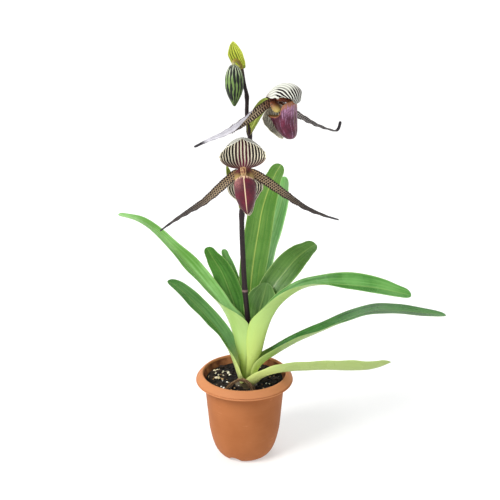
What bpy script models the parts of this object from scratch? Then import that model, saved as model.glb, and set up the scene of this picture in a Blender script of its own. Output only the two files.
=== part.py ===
"""A rothschild slipper orchid in flower, in the round plastic pot that it grows in.

Sizes are in millimetres and become Blender's metres where a mesh is made. X is to the
right, Y is away from the front and Z is up. The pot stands on z = 0, centred on the Z axis.
"""
import math
import random
from dataclasses import dataclass

import bmesh
import bpy
import numpy as np

MM = 0.001
GAP = 0.3

# Pot
POT_SEGMENTS = 48
POT_WALL = 2.0
POT_FLOOR = 2.5
FOOT_RADIUS = 33.0
SHOULDER_RADIUS, SHOULDER_HEIGHT = 51.7, 44.0
CORNER_RADIUS, CORNER_HEIGHT = 45.5, 3.0
NECK_RADIUS, NECK_HEIGHT = 57.9, 114.0
RIM_RADIUS, RIM_HEIGHT = 70.0, 126.6
RIM_INNER_RADIUS = 60.6
NOTCH_COUNT = 8
NOTCH_RADIUS, NOTCH_DEPTH = 8.0, 3.5
NOTCH_REACH = (25.0, 60.0)
NOTCH_TURN = 0.31
NOTCH_SIDES = 20

# Potting mix
MIX_HEIGHT = 114.6
MIX_RINGS = (1.0, 0.84, 0.68, 0.52, 0.36, 0.18, 0.0)
MOUND_HEIGHT, MOUND_SPREAD = 3.2, 26.0
RIPPLE_HEIGHT = 0.5
CHIP_COUNT = 36
CHIP_SIZE = (4.0, 7.5)
CHIP_STRETCH = ((0.8, 1.3), (0.6, 1.0), (0.45, 0.7))
CHIP_TILT = 0.5
CHIP_LIFT = 0.1
CHIP_SEED = 7
CHIP_MARGIN = 9.0
PLANT_MIDDLE, PLANT_REACH = (4.0, -8.0), 31.0

# Plant base: a crown that carries two fans of leaves
FAN_CENTRE = (3.0, -20.0)
BACK_FAN_CENTRE = (5.0, 8.0)
CROWN_RADIUS, BACK_CROWN_RADIUS = 16.4, 9.6
CROWN_TOP, CROWN_DEPTH = 118.0, 14.0
CROWN_SIDES, CROWN_TAPER = 20, 0.85
CROWN_HOLE_TOP = CROWN_TOP + 12.0
LEAF_FOOT = CROWN_TOP + GAP + 0.1

# Flowers
HUB_RADIUS = 5.0
FRONT_HUB, FRONT_YAW, FRONT_ROLL = (0.0, -54.0, 432.0), 0.0, 5.5
UPPER_HUB, UPPER_YAW, UPPER_ROLL = (37.5, -37.5, 518.0), 52.0, 0.0


@dataclass(frozen=True)
class Blade:
    """A leaf, petal or bract, given by its midrib and by how its two halves stand.

    Every list of stops pairs a place, from 0 at the base to 1 at the tip, with a value.
    """

    path: tuple
    facing: tuple
    half_width: tuple
    crease: tuple
    curl: tuple
    thickness: float = 1.1
    rows: int = 17
    columns: int = 2


@dataclass(frozen=True)
class Leaf:
    """A strap leaf that clasps its fan with its base and then follows its own path.

    Its two halves are folded up by crease degrees at the place where it is free of its fan,
    and there it has the shoulder's share of its widest half width.
    """

    name: str
    fan: tuple
    ring: float
    azimuth: float
    clasp_height: float
    path: tuple
    facing: tuple
    widest: float
    crease: float
    free_place: float
    clasp_angle: float = 76.0
    tip_crease: float = 12.0
    blunt: float = 3.0
    shoulder: float = 0.84


def smooth_path(points, count):
    """Return count points, evenly spaced on a smooth curve through the given points."""
    knots = np.array(points, float)
    ends = np.vstack([2 * knots[0] - knots[1], knots, 2 * knots[-1] - knots[-2]])
    dense = []
    for index in range(len(knots) - 1):
        before, start, stop, after = ends[index:index + 4]
        for t in np.linspace(0, 1, 12, endpoint=False):
            linear = (stop - before) * t
            square = (2 * before - 5 * start + 4 * stop - after) * t ** 2
            cube = (3 * start - before - 3 * stop + after) * t ** 3
            dense.append(0.5 * (2 * start + linear + square + cube))
    dense.append(knots[-1])
    dense = np.array(dense)
    steps = np.linalg.norm(np.diff(dense, axis=0), axis=1)
    reach = np.concatenate([[0.0], np.cumsum(steps)])
    even = np.linspace(0, reach[-1], count)
    return np.column_stack([np.interp(even, reach, dense[:, axis]) for axis in range(3)])


def value_at(stops, place):
    """Return the value at a place, read between a list of (place, value) stops."""
    places, values = zip(*stops)
    values = np.array(values, float)
    if values.ndim == 1:
        return float(np.interp(place, places, values))
    return np.array([np.interp(place, places, column) for column in values.T])


def unit(vector):
    """Return a vector, or each row of vectors, at length one."""
    vector = np.asarray(vector, float)
    return vector / np.linalg.norm(vector, axis=-1, keepdims=True)


def blade_sheet(blade):
    """Return the middle sheet of a blade as a grid of points, rows from base to tip."""
    centre = smooth_path(blade.path, blade.rows + 1)
    along = unit(np.gradient(centre, axis=0))
    sheet = np.zeros((blade.rows + 1, 2 * blade.columns + 1, 3))
    for row, place in enumerate(np.linspace(0, 1, blade.rows + 1)):
        facing = value_at(blade.facing, place)
        normal = unit(facing - along[row] * facing.dot(along[row]))
        side = np.cross(along[row], normal)
        step = value_at(blade.half_width, place) / blade.columns
        crease = value_at(blade.crease, place)
        curl = value_at(blade.curl, place)
        across = rise = 0.0
        sheet[row, blade.columns] = centre[row]
        for column in range(1, blade.columns + 1):
            turn = math.radians(crease + curl * (column - 0.5) / blade.columns)
            across += step * math.cos(turn)
            rise += step * math.sin(turn)
            for hand in (-1, 1):
                point = centre[row] + side * across * hand + normal * rise
                sheet[row, blade.columns + hand * column] = point
    return sheet


def new_object(name, points, faces, material):
    """Make an object of a closed mesh given in millimetres, with its faces pointing out."""
    mesh = bpy.data.meshes.new(name)
    mesh.from_pydata([tuple(np.array(point) * MM) for point in points], [], faces)
    shape = bmesh.new()
    shape.from_mesh(mesh)
    bmesh.ops.recalc_face_normals(shape, faces=shape.faces)
    shape.to_mesh(mesh)
    shape.free()
    mesh.materials.append(material)
    mesh.shade_smooth()
    mesh.set_sharp_from_angle(angle=math.radians(40))
    piece = bpy.data.objects.new(name, mesh)
    bpy.context.scene.collection.objects.link(piece)
    return piece


def sheet_object(name, sheet, thickness, material):
    """Make a thin solid from a sheet, split into triangles alike on both faces."""
    rows, columns = sheet.shape[0], sheet.shape[1]
    normals = unit(np.cross(np.gradient(sheet, axis=1), np.gradient(sheet, axis=0)))
    upper = (sheet + normals * thickness / 2).reshape(-1, 3)
    lower = (sheet - normals * thickness / 2).reshape(-1, 3)
    under = rows * columns
    faces = []
    for row in range(rows - 1):
        for column in range(columns - 1):
            a = row * columns + column
            b, c, d = a + 1, a + columns + 1, a + columns
            faces += [(a, b, c), (a, c, d)]
            faces += [(a + under, c + under, b + under), (a + under, d + under, c + under)]
    edge = list(range(columns))
    edge += [row * columns + columns - 1 for row in range(1, rows)]
    edge += [(rows - 1) * columns + column for column in range(columns - 2, -1, -1)]
    edge += [row * columns for row in range(rows - 2, 0, -1)]
    for a, b in zip(edge, edge[1:] + edge[:1]):
        faces += [(b, a, a + under), (b, a + under, b + under)]
    return new_object(name, np.vstack([upper, lower]), faces, material)


def tube_rings(points, radii, sides, flatten=1.0):
    """Return rings of points round a path; flatten below 1 squeezes them front to back."""
    centre = np.array(points, float)
    along = unit(np.gradient(centre, axis=0))
    side = unit(np.cross(along[0], (0.0, 1.0, 0.3)))
    rings = []
    for point, direction, radius in zip(centre, along, radii):
        side = unit(side - direction * side.dot(direction))
        depth = np.cross(direction, side) * flatten
        angles = [2 * math.pi * k / sides for k in range(sides)]
        rings.append([point + radius * (side * math.cos(a) + depth * math.sin(a)) for a in angles])
    return rings


def ring_object(name, rings, material):
    """Make a closed solid from rings of points, with a flat face on the first and last."""
    sides = len(rings[0])
    faces = [tuple(range(sides))]
    for row in range(len(rings) - 1):
        for k in range(sides):
            after = (k + 1) % sides
            faces.append((row * sides + k, row * sides + after,
                          (row + 1) * sides + after, (row + 1) * sides + k))
    last = (len(rings) - 1) * sides
    faces.append(tuple(range(last + sides - 1, last - 1, -1)))
    return new_object(name, [point for ring in rings for point in ring], faces, material)


def placed(points, hub, yaw, roll=0.0):
    """Tip points sideways by roll degrees, turn them about Z by yaw and move them to a hub."""
    tip = math.radians(roll)
    turn = math.radians(yaw)
    sway = np.array([[math.cos(tip), 0.0, -math.sin(tip)],
                     [0.0, 1.0, 0.0],
                     [math.sin(tip), 0.0, math.cos(tip)]])
    spin = np.array([[math.cos(turn), -math.sin(turn), 0.0],
                     [math.sin(turn), math.cos(turn), 0.0],
                     [0.0, 0.0, 1.0]])
    return np.asarray(points, float) @ sway.T @ spin.T + np.array(hub)


def combine(target, cutter, operation, solver="EXACT"):
    """Join a second object into a first one, or cut it out of it, and remove the second."""
    change = target.modifiers.new(operation.title(), "BOOLEAN")
    change.operation = operation
    change.solver = solver
    change.object = cutter
    with bpy.context.temp_override(object=target, active_object=target):
        bpy.ops.object.modifier_apply(modifier=change.name)
    bpy.data.objects.remove(cutter)


def spun_object(name, profile, segments, material):
    """Turn a profile of (radius, height) points about the Z axis into a closed solid."""
    mesh = bpy.data.meshes.new(name)
    shape = bmesh.new()
    line = [shape.verts.new((radius * MM, 0.0, height * MM)) for radius, height in profile]
    edges = [shape.edges.new(pair) for pair in zip(line, line[1:])]
    bmesh.ops.spin(shape, geom=line + edges, cent=(0, 0, 0), axis=(0, 0, 1),
                   angle=2 * math.pi, steps=segments, use_duplicate=False)
    bmesh.ops.remove_doubles(shape, verts=shape.verts, dist=1e-6)
    bmesh.ops.recalc_face_normals(shape, faces=shape.faces)
    shape.to_mesh(mesh)
    shape.free()
    mesh.materials.append(material)
    mesh.shade_smooth()
    mesh.set_sharp_from_angle(angle=math.radians(40))
    piece = bpy.data.objects.new(name, mesh)
    bpy.context.scene.collection.objects.link(piece)
    return piece


def finish(name, colour, roughness):
    """Return a plain material of one colour."""
    material = bpy.data.materials.new(name)
    material.use_nodes = True
    shader = material.node_tree.nodes["Principled BSDF"]
    shader.inputs["Base Color"].default_value = (*colour, 1.0)
    shader.inputs["Roughness"].default_value = roughness
    shader.inputs["Metallic"].default_value = 0.0
    material.diffuse_color = (*colour, 1.0)
    return material


def wall_curve(inset, floor, count):
    """Return the pot's lower wall, foot to shoulder, moved inwards and up by a wall."""
    foot = np.array([FOOT_RADIUS - inset / 2, floor])
    corner = np.array([CORNER_RADIUS - inset, CORNER_HEIGHT + floor])
    shoulder = np.array([SHOULDER_RADIUS - inset, SHOULDER_HEIGHT])
    curve = []
    for t in np.linspace(0, 1, count):
        point = (1 - t) ** 2 * foot + 2 * t * (1 - t) * corner + t ** 2 * shoulder
        curve.append(tuple(point))
    return curve


def make_pot(material):
    """Make the pot: a turned wall with a sloped rim, and drainage notches round its foot."""
    rim_lip = [(RIM_RADIUS - 1.2, NECK_HEIGHT + 1.2), (RIM_RADIUS, NECK_HEIGHT + 2.0),
               (RIM_RADIUS, NECK_HEIGHT + 3.0), (RIM_RADIUS - 1.2, NECK_HEIGHT + 4.2)]
    rim_top = [(RIM_RADIUS - 3.6, RIM_HEIGHT - 4.6), (RIM_RADIUS - 6.6, RIM_HEIGHT - 1.4),
               (RIM_RADIUS - 8.2, RIM_HEIGHT - 0.2), (RIM_INNER_RADIUS, RIM_HEIGHT),
               (RIM_INNER_RADIUS - 1.0, RIM_HEIGHT - 0.8)]
    inner_neck = [(NECK_RADIUS - POT_WALL, NECK_HEIGHT + 1.0)]
    outside = [(0.0, 0.0)] + wall_curve(0.0, 0.0, 6) + [(NECK_RADIUS, NECK_HEIGHT)]
    inside = wall_curve(POT_WALL, POT_FLOOR, 5)[::-1] + [(0.0, POT_FLOOR)]
    pot = spun_object("pot", outside + rim_lip + rim_top + inner_neck + inside,
                      POT_SEGMENTS, material)
    middle = (NOTCH_REACH[0] + NOTCH_REACH[1]) / 2
    for index in range(NOTCH_COUNT):
        angle = 2 * math.pi * (index + NOTCH_TURN) / NOTCH_COUNT
        place = (middle * math.cos(angle) * MM, middle * math.sin(angle) * MM,
                 (NOTCH_DEPTH - NOTCH_RADIUS) * MM)
        bpy.ops.mesh.primitive_cylinder_add(vertices=NOTCH_SIDES, radius=NOTCH_RADIUS * MM,
                                            depth=(NOTCH_REACH[1] - NOTCH_REACH[0]) * MM,
                                            location=place,
                                            rotation=(0.0, math.pi / 2, angle))
        combine(pot, bpy.context.object, "DIFFERENCE")
    return pot


def crown_solid(name, growth, top, material):
    """Make the crown's shape: a hull round both fans, grown all round by a clearance."""
    shape = bmesh.new()
    for centre, radius in ((FAN_CENTRE, CROWN_RADIUS), (BACK_FAN_CENTRE, BACK_CROWN_RADIUS)):
        for height, share in ((top, 1.0), (CROWN_TOP - 1.0, 1.0),
                              (CROWN_TOP - CROWN_DEPTH - growth, CROWN_TAPER)):
            for k in range(CROWN_SIDES):
                angle = 2 * math.pi * k / CROWN_SIDES
                reach = radius * share + growth
                shape.verts.new(((centre[0] + reach * math.cos(angle)) * MM,
                                 (centre[1] + reach * math.sin(angle)) * MM, height * MM))
    hull = bmesh.ops.convex_hull(shape, input=shape.verts)
    bmesh.ops.delete(shape, geom=hull["geom_interior"], context="VERTS")
    mesh = bpy.data.meshes.new(name)
    shape.to_mesh(mesh)
    shape.free()
    mesh.materials.append(material)
    piece = bpy.data.objects.new(name, mesh)
    bpy.context.scene.collection.objects.link(piece)
    return piece


def mix_height(x, y):
    """Return the height of the potting mix, which is mounded round the plant."""
    away = math.hypot(x - PLANT_MIDDLE[0], y - PLANT_MIDDLE[1])
    ripple = RIPPLE_HEIGHT * math.sin(0.31 * x + 1.0) * math.cos(0.27 * y)
    return MIX_HEIGHT + ripple + MOUND_HEIGHT * math.exp(-(away / MOUND_SPREAD) ** 2)


def make_potting_mix(material):
    """Make the potting mix that fills the pot, with chips of bark standing out of it."""
    rim = NECK_RADIUS - POT_WALL - GAP
    sides = wall_curve(POT_WALL + GAP, POT_FLOOR + GAP, 5)
    top = [(rim * share, MIX_HEIGHT) for share in MIX_RINGS]
    mix = spun_object("potting_mix", [(0.0, POT_FLOOR + GAP)] + sides + top,
                      POT_SEGMENTS, material)
    for vertex in mix.data.vertices:
        x, y, z = vertex.co / MM
        if z > MIX_HEIGHT - GAP:
            vertex.co.z = mix_height(x, y) * MM
    combine(mix, crown_solid("crown_hole", GAP, CROWN_HOLE_TOP, material), "DIFFERENCE")
    draw = random.Random(CHIP_SEED)
    chips = bpy.data.collections.new("chips")
    bpy.context.scene.collection.children.link(chips)
    placed_chips = 0
    while placed_chips < CHIP_COUNT:
        angle = draw.uniform(0, 2 * math.pi)
        reach = (rim - CHIP_MARGIN) * math.sqrt(draw.random())
        x, y = reach * math.cos(angle), reach * math.sin(angle)
        if math.hypot(x - PLANT_MIDDLE[0], y - PLANT_MIDDLE[1]) < PLANT_REACH:
            continue
        size = draw.uniform(*CHIP_SIZE)
        height = mix_height(x, y) + CHIP_LIFT
        bpy.ops.mesh.primitive_ico_sphere_add(subdivisions=1, radius=size / 2 * MM,
                                              location=(x * MM, y * MM, height * MM))
        chip = bpy.context.object
        chip.scale = tuple(draw.uniform(*stretch) for stretch in CHIP_STRETCH)
        chip.rotation_euler = (draw.uniform(-CHIP_TILT, CHIP_TILT),
                               draw.uniform(-CHIP_TILT, CHIP_TILT), draw.uniform(0, math.pi))
        for collection in chip.users_collection:
            collection.objects.unlink(chip)
        chips.objects.link(chip)
        placed_chips += 1
    union = mix.modifiers.new("Chips", "BOOLEAN")
    union.operation = "UNION"
    union.solver = "MANIFOLD"
    union.operand_type = "COLLECTION"
    union.collection = chips
    with bpy.context.temp_override(object=mix, active_object=mix):
        bpy.ops.object.modifier_apply(modifier=union.name)
    for chip in list(chips.objects):
        bpy.data.objects.remove(chip)
    bpy.data.collections.remove(chips)
    return mix


STEM_PATH = ((3, -20, 118.6), (5, -17, 160), (7, -12, 205), (1, -11, 255), (-2, -12, 314),
             (-3, -13, 364), (0, -12, 397), (5, -11, 431), (8, -10, 464), (7, -10, 474),
             (4, -10, 496), (4, -10, 519), (1, -10, 534), (-2, -10, 553))
STEM_RADIUS = ((0.0, 3.5), (0.4, 3.5), (0.75, 3.0), (1.0, 2.1))
STEM_NODES = ((255.0, 0.7), (364.0, 0.9), (474.0, 1.3), (519.0, 0.7))
STEM_NODE_LENGTH = 5.0


def make_stem(material):
    """Make the flower stem, which swells a little at each of its nodes."""
    path = smooth_path(STEM_PATH, 44)
    radii = []
    for place, point in zip(np.linspace(0, 1, len(path)), path):
        swell = sum(size * math.exp(-((point[2] - height) / STEM_NODE_LENGTH) ** 2)
                    for height, size in STEM_NODES)
        radii.append(value_at(STEM_RADIUS, place) + swell)
    return ring_object("flower_stem", tube_rings(path, radii, 10), material)


OLD_SHEATH_RADIUS = ((0.0, 1.3), (0.5, 2.0), (1.0, 1.3))
OLD_SHEATH_PATH = ((13, -43, 117.2), (9.5, -41.5, 124), (3, -40, 130.5), (-5, -40, 133),
                   (-14, -41.5, 130), (-23, -43.5, 123.3), (-31, -44, 116.4))


def make_old_sheath(material):
    """Make the dry, curled remains of an old leaf's sheath in front of the plant."""
    rows = 14
    path = smooth_path(OLD_SHEATH_PATH, rows)
    radii = [value_at(OLD_SHEATH_RADIUS, place) for place in np.linspace(0, 1, rows)]
    return ring_object("old_sheath", tube_rings(path, radii, 6), material)


LEAVES = (
    Leaf("leaf_left_long", FAN_CENTRE, 8.6, 180, 26,
         ((-13, -23.5, 179), (-21.5, -20.5, 210), (-33, -11, 232), (-52, 0, 254), (-73, 9, 279),
          (-97, 18, 307), (-121, 26, 330), (-146, 32, 345), (-177, 36, 351)),
         ((0.25, (1, 0.25, 0.3)), (0.42, (0.75, -0.5, 0.5)), (0.7, (0.55, -0.5, 0.7)),
          (1.0, (0.2, -0.3, 1))),
         18.0, 30, 0.28, clasp_angle=84, blunt=4.0, shoulder=0.88),
    Leaf("leaf_left_low", FAN_CENTRE, 11.6, 188, 9,
         ((-14, -27, 150), (-22, -30, 174), (-34, -32, 200), (-51, -33, 224),
          (-71, -34, 248), (-89, -36, 268), (-103, -38, 278)),
         ((0.15, (1, 0.3, 0.2)), (0.3, (0.9, 0, 0.5)), (0.45, (0.7, -0.4, 0.6)),
          (1.0, (0.35, -0.5, 0.8))),
         15.0, 28, 0.36, clasp_angle=62),
    Leaf("leaf_left_inner", FAN_CENTRE, 5.6, 180, 44,
         ((-2, -13, 176), (-2, -5.5, 191), (-4.5, 2, 206), (-9.5, 9.5, 221), (-18, 16, 243),
          (-30, 25, 268), (-43, 32, 288), (-52, 38, 302)),
         ((0.38, (1, -0.15, 0.1)), (0.52, (0.45, -0.85, 0.3)), (1.0, (0.35, -0.8, 0.5))),
         16.5, 14, 0.5, blunt=8.0),
    Leaf("leaf_right_short", FAN_CENTRE, 5.6, 0, 44,
         ((11.7, -12.5, 176), (15, -5.5, 191), (18, 0, 207), (23, 4, 226), (28, 8, 243),
          (32, 12, 258)),
         ((0.5, (-1, -0.15, 0.1)), (0.66, (-0.5, -0.85, 0.3)), (0.8, (-0.25, -0.9, 0.35)),
          (1.0, (-0.15, -0.9, 0.4))),
         18.5, 9, 0.68, tip_crease=8, blunt=11.0),
    Leaf("leaf_right_middle", FAN_CENTRE, 7.1, 0, 40,
         ((16, -10.8, 176), (21, -1.8, 194), (26, 8, 215), (32, 13, 231), (42, 19, 250),
          (57, 28, 268), (74, 38, 285), (91, 48, 296), (103, 55, 302)),
         ((0.31, (-1, -0.28, 0.1)), (0.42, (-0.6, -0.75, 0.4)), (0.55, (-0.4, -0.85, 0.4)),
          (1.0, (-0.2, -0.75, 0.6))),
         18.0, 16, 0.46, blunt=8.0),
    Leaf("leaf_right_arching", FAN_CENTRE, 10.1, 0, 16,
         ((19, -21.5, 151), (25, -26, 170), (32, -28.5, 199), (42, -30, 228), (57, -32, 249),
          (80, -34, 269), (105, -37, 278), (135, -40, 280), (175, -45, 276), (201, -48, 268),
          (223, -50, 262)),
         ((0.25, (-1, 0.3, 0.3)), (0.45, (-0.5, -0.15, 0.9)), (0.75, (0, -0.5, 0.9)),
          (1.0, (0.3, -0.6, 0.9))),
         18.0, 30, 0.27, clasp_angle=88, blunt=6.0, shoulder=1.06),
    Leaf("leaf_right_long", FAN_CENTRE, 13.1, 0, 6,
         ((19.5, -22, 140), (29, -24, 153), (44, -24, 164), (62, -22, 175), (79, -20, 184),
          (106, -16, 195), (134, -11, 207), (162, -6, 217), (191, -2, 221), (220, 2, 219),
          (256, 6, 214), (287, 10, 210)),
         ((0.2, (-0.7, 0.1, 0.8)), (0.45, (-0.3, 0, 1)), (1.0, (0.05, -0.1, 1))),
         16.0, 44, 0.2, clasp_angle=56, tip_crease=8),
    Leaf("leaf_right_low", FAN_CENTRE, 15.0, -50, 3,
         ((17, -34, 127), (26, -38, 136), (44, -44, 145), (66, -52, 152), (86, -58, 156),
          (111, -66, 161), (137, -74, 164), (161, -81, 168), (177, -86, 174), (193, -91, 184)),
         ((0.2, (-0.5, 0.5, 0.9)), (0.6, (-0.1, 0.5, 0.9)), (1.0, (-0.3, 0.5, 0.9))),
         12.5, 46, 0.26, clasp_angle=46, tip_crease=30),
    Leaf("leaf_back_tall", BACK_FAN_CENTRE, 3.6, 90, 46,
         ((7, 17, 199), (8, 25, 231), (10, 32, 258), (14, 38, 289), (19, 44, 319),
          (25, 51, 353), (33, 56, 383), (42, 60, 407), (50, 62, 421)),
         ((0.3, (0.05, -1, 0.1)), (1.0, (-0.1, -1, 0.3))),
         20.0, 8, 0.4, tip_crease=6, blunt=10.0),
    Leaf("leaf_back_right", BACK_FAN_CENTRE, 5.6, 62, 40,
         ((14, 26, 195), (20, 34, 228), (26, 45, 261), (34, 55, 296), (45, 65, 330),
          (55, 71, 365), (58, 75, 397)),
         ((0.3, (-0.5, -0.85, 0.2)), (1.0, (-0.55, -0.8, 0.2))),
         17.0, 14, 0.4, clasp_angle=52, tip_crease=10, blunt=8.0),
    Leaf("leaf_back_left", BACK_FAN_CENTRE, 8.0, 165, 36,
         ((-7, 17, 185), (-9, 26, 214), (-13, 34, 240), (-20, 42, 264), (-26, 48, 282),
          (-31, 52, 295)),
         ((0.5, (0.6, -0.75, 0.3)), (1.0, (0.4, -0.8, 0.4))),
         12.0, 16, 0.5, clasp_angle=46, tip_crease=14, blunt=7.0),
)


def fan_axis(leaf, height):
    """Return the middle of a leaf's fan at a height: the stem, or an upright line."""
    if leaf.fan == FAN_CENTRE:
        stem = np.array(STEM_PATH, float)
        return np.array([np.interp(height, stem[:, 2], stem[:, 0]),
                         np.interp(height, stem[:, 2], stem[:, 1]), height])
    return np.array([*leaf.fan, height])


def make_leaf(leaf, material):
    """Make a leaf: an arc round its fan at the foot, and then a blade on its own path."""
    angle = math.radians(leaf.azimuth)
    outward = np.array([math.cos(angle), math.sin(angle), 0.0])
    clasped = [fan_axis(leaf, LEAF_FOOT + leaf.clasp_height * share) + outward * leaf.ring
               for share in (0.0, 0.5, 1.0)]
    path = tuple(tuple(point) for point in clasped) + leaf.path
    lengths = np.linalg.norm(np.diff(np.array(path), axis=0), axis=1)
    clasp = lengths[:2].sum() / lengths.sum()
    base_width = leaf.ring * math.radians(leaf.clasp_angle)
    free_width = max(base_width, leaf.shoulder * leaf.widest)
    inward = tuple(-outward)
    blade = Blade(
        path=path,
        facing=((0.0, inward), (clasp, inward)) + leaf.facing,
        half_width=((0.0, base_width), (clasp, base_width),
                    ((clasp + leaf.free_place) / 2, 0.65 * base_width + 0.32 * free_width),
                    (leaf.free_place, free_width),
                    (0.5 + leaf.free_place / 5, leaf.widest), (0.75, 0.94 * leaf.widest),
                    (0.88, 0.72 * leaf.widest), (0.95, 0.48 * leaf.widest),
                    (1.0, leaf.blunt * 0.6)),
        crease=((0.0, 0.0), (clasp, 0.0), (leaf.free_place, leaf.crease),
                (0.55 + leaf.free_place / 5, leaf.crease * 0.7), (1.0, leaf.tip_crease)),
        curl=((0.0, leaf.clasp_angle), (clasp, leaf.clasp_angle),
              ((clasp + leaf.free_place) / 2, 0.45 * leaf.clasp_angle), (leaf.free_place, 20.0),
              (0.75, 8.0), (1.0, 8.0)))
    sheet = blade_sheet(blade)
    sheet[0, :, 2] = LEAF_FOOT
    return sheet_object(leaf.name, sheet, blade.thickness, material)


@dataclass(frozen=True)
class Flower:
    """One slipper flower, in its own frame: it faces -Y, with its hub at the origin."""

    name: str
    hub: tuple
    yaw: float
    roll: float
    ovary: tuple
    bract: Blade
    dorsal_path: tuple
    dorsal_curl: float
    petal_left: tuple
    petal_right: tuple


SEPAL_WIDTH = ((0.0, 5.0), (0.08, 18.0), (0.18, 29.0), (0.32, 33.0), (0.45, 32.0), (0.6, 29.0),
               (0.78, 22.0), (0.92, 12.5), (1.0, 5.0))
VENTRAL_WIDTH = ((0.0, 4.0), (0.12, 10.0), (0.28, 21.0), (0.5, 22.5), (0.75, 15.0),
                 (0.92, 7.0), (1.0, 2.0))
VENTRAL_PATH = ((0, 0.5, -5.8), (0, 6.5, -15), (0, 7, -28), (0, 1, -41), (0, -10, -52))
PETAL_WIDTH = ((0.0, 3.0), (0.1, 5.8), (0.22, 6.8), (0.4, 6.1), (0.6, 4.3), (0.8, 2.5),
               (0.93, 1.3), (1.0, 1.0))
DORSAL_FACING = ((0.0, (0, -1, 0)), (0.5, (0, -1, -0.6)), (1.0, (0, 0.4, -1)))
VENTRAL_FACING = ((0.0, (0, -1, 0)), (1.0, (0, -1, 0.5)))
VENTRAL_CURL = 38.0
PETAL_FACING = ((0.0, (0, -1, 0.15)), (1.0, (0, -1, 0.5)))
PETAL_CREASE = ((0.0, 10.0), (0.5, 16.0), (1.0, 10.0))
PETAL_CURL = ((0.0, 6.0), (1.0, 6.0))
SEPAL_THICKNESS = 0.9
POUCH_WALL = 1.0
POUCH_SIDES = 18
POUCH_CENTRE = ((0, -20.5, -3), (0, -20.5, -16), (0, -21.5, -30), (0, -24, -41), (0, -26, -49))
POUCH_HALF_WIDTH = ((0.0, 11.6), (0.2, 13.6), (0.45, 13.6), (0.7, 11.0), (0.88, 6.8), (1.0, 2.4))
POUCH_HALF_DEPTH = ((0.0, 11.0), (0.2, 12.0), (0.5, 12.0), (0.75, 10.0), (0.9, 6.5), (1.0, 2.4))
POUCH_RIM_RAISE = 2.5
POUCH_RIM_DIP = 4.0
POUCH_HEEL_REACH, POUCH_HEEL_RAISE = 4.0, 1.0
COLUMN_PATH = ((0, -6.5, 2.5), (0, -9.5, 4.5), (0, -13.5, 6), (0, -17.5, 6), (0, -20.5, 3.5),
               (0, -22, -1.5), (0, -22, -5.5))
COLUMN_RADIUS = (3.0, 3.6, 4.0, 4.4, 4.8, 4.2, 1.8)
OVARY_RADIUS = ((0.0, 2.4), (0.75, 4.2), (0.86, HUB_RADIUS), (0.94, HUB_RADIUS), (1.0, 4.0))

FRONT_FLOWER = Flower(
    "front", FRONT_HUB, FRONT_YAW, FRONT_ROLL,
    ovary=((-7.6, -16.2, 371.5), (-11, -19, 384), (-14, -25, 402), (-13, -33, 418),
           (-7, -42, 428), (-1, -50, 431.5), (0, -59, 432)),
    bract=Blade(((-9.7, -11, 365.5), (-18.3, -14.5, 382), (-22.5, -20, 400), (-23, -25, 417),
                 (-23, -30, 433)),
                ((0.0, (0.9, -0.45, 0.25)), (1.0, (0.9, -0.45, 0.25))),
                ((0.0, 3.5), (0.3, 8.0), (0.6, 7.5), (1.0, 1.2)),
                ((0.0, 20.0), (1.0, 25.0)), ((0.0, 60.0), (1.0, 30.0)), 0.9, 10, 2),
    dorsal_path=((0, 0.5, 5.5), (0, 4.5, 13), (0, 5, 24), (0, 1, 35), (0, -8, 43),
                 (0, -18, 43.5)),
    dorsal_curl=62.0,
    petal_left=((-6.0, -1, -0.5), (-12, -4, -4.5), (-27, -6, -18), (-49, -6, -38),
                (-69, -2, -52), (-90, 4, -67), (-109.5, 8, -82)),
    petal_right=((5.5, -1, -0.5), (12, -4, -2.5), (27, -6, -11), (52, -6, -29), (79, -2, -48),
                 (105, 4, -60.5), (124, 8, -67)))

UPPER_FLOWER = Flower(
    "upper", UPPER_HUB, UPPER_YAW, UPPER_ROLL,
    ovary=((10.8, -12.9, 478.3), (16, -16, 488), (22, -20, 500), (29, -26.5, 511),
           (34.1, -33.9, 517), (41.4, -40.6, 518)),
    bract=Blade(((11.2, -4.8, 474.0), (17, -3.5, 483), (20, -4, 495), (22, -7, 507),
                 (24, -12, 519)),
                ((0.0, (-0.6, -0.7, 0.5)), (1.0, (-0.55, -0.7, 0.3))),
                ((0.0, 4.0), (0.3, 10.0), (0.6, 9.0), (1.0, 1.2)),
                ((0.0, 20.0), (1.0, 25.0)), ((0.0, 60.0), (1.0, 30.0)), 0.9, 10, 2),
    dorsal_path=((0, 0.5, 5.5), (0, 0, 11), (0, -8, 18), (0, -17, 21.5), (0, -27, 21),
                 (0, -36, 16), (0, -42, 8), (0, -42, -1)),
    dorsal_curl=95.0,
    petal_left=((-5.8, -1, 0), (-17, 3, -6), (-47, 9.7, -22), (-80, 13.7, -33),
                (-105, 16.7, -38), (-127, 20.7, -44)),
    petal_right=((5.8, -1, 0), (27, 2, -12), (50, 0, -23), (81, -10, -39), (107, -21, -49),
                 (114, -25, -48), (119, -26, -37)))


def make_sepal(flower, part, path, width, facing, curl, material, rows, columns):
    """Make a broad, cupped sepal of a flower."""
    flat = ((0.0, 0.0), (1.0, 0.0))
    cup = ((0.0, 10.0), (0.3, curl), (1.0, curl))
    blade = Blade(path, facing, width, flat, cup, SEPAL_THICKNESS, rows, columns)
    sheet = placed(blade_sheet(blade), flower.hub, flower.yaw, flower.roll)
    return sheet_object(f"{flower.name}_{part}", sheet, blade.thickness, material)


def make_petal(flower, part, path, material):
    """Make a long, tapering petal of a flower, with its two halves a little folded."""
    blade = Blade(path, PETAL_FACING, PETAL_WIDTH, PETAL_CREASE, PETAL_CURL,
                  SEPAL_THICKNESS, 18, 2)
    sheet = placed(blade_sheet(blade), flower.hub, flower.yaw)
    return sheet_object(f"{flower.name}_{part}", sheet, blade.thickness, material)


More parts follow.
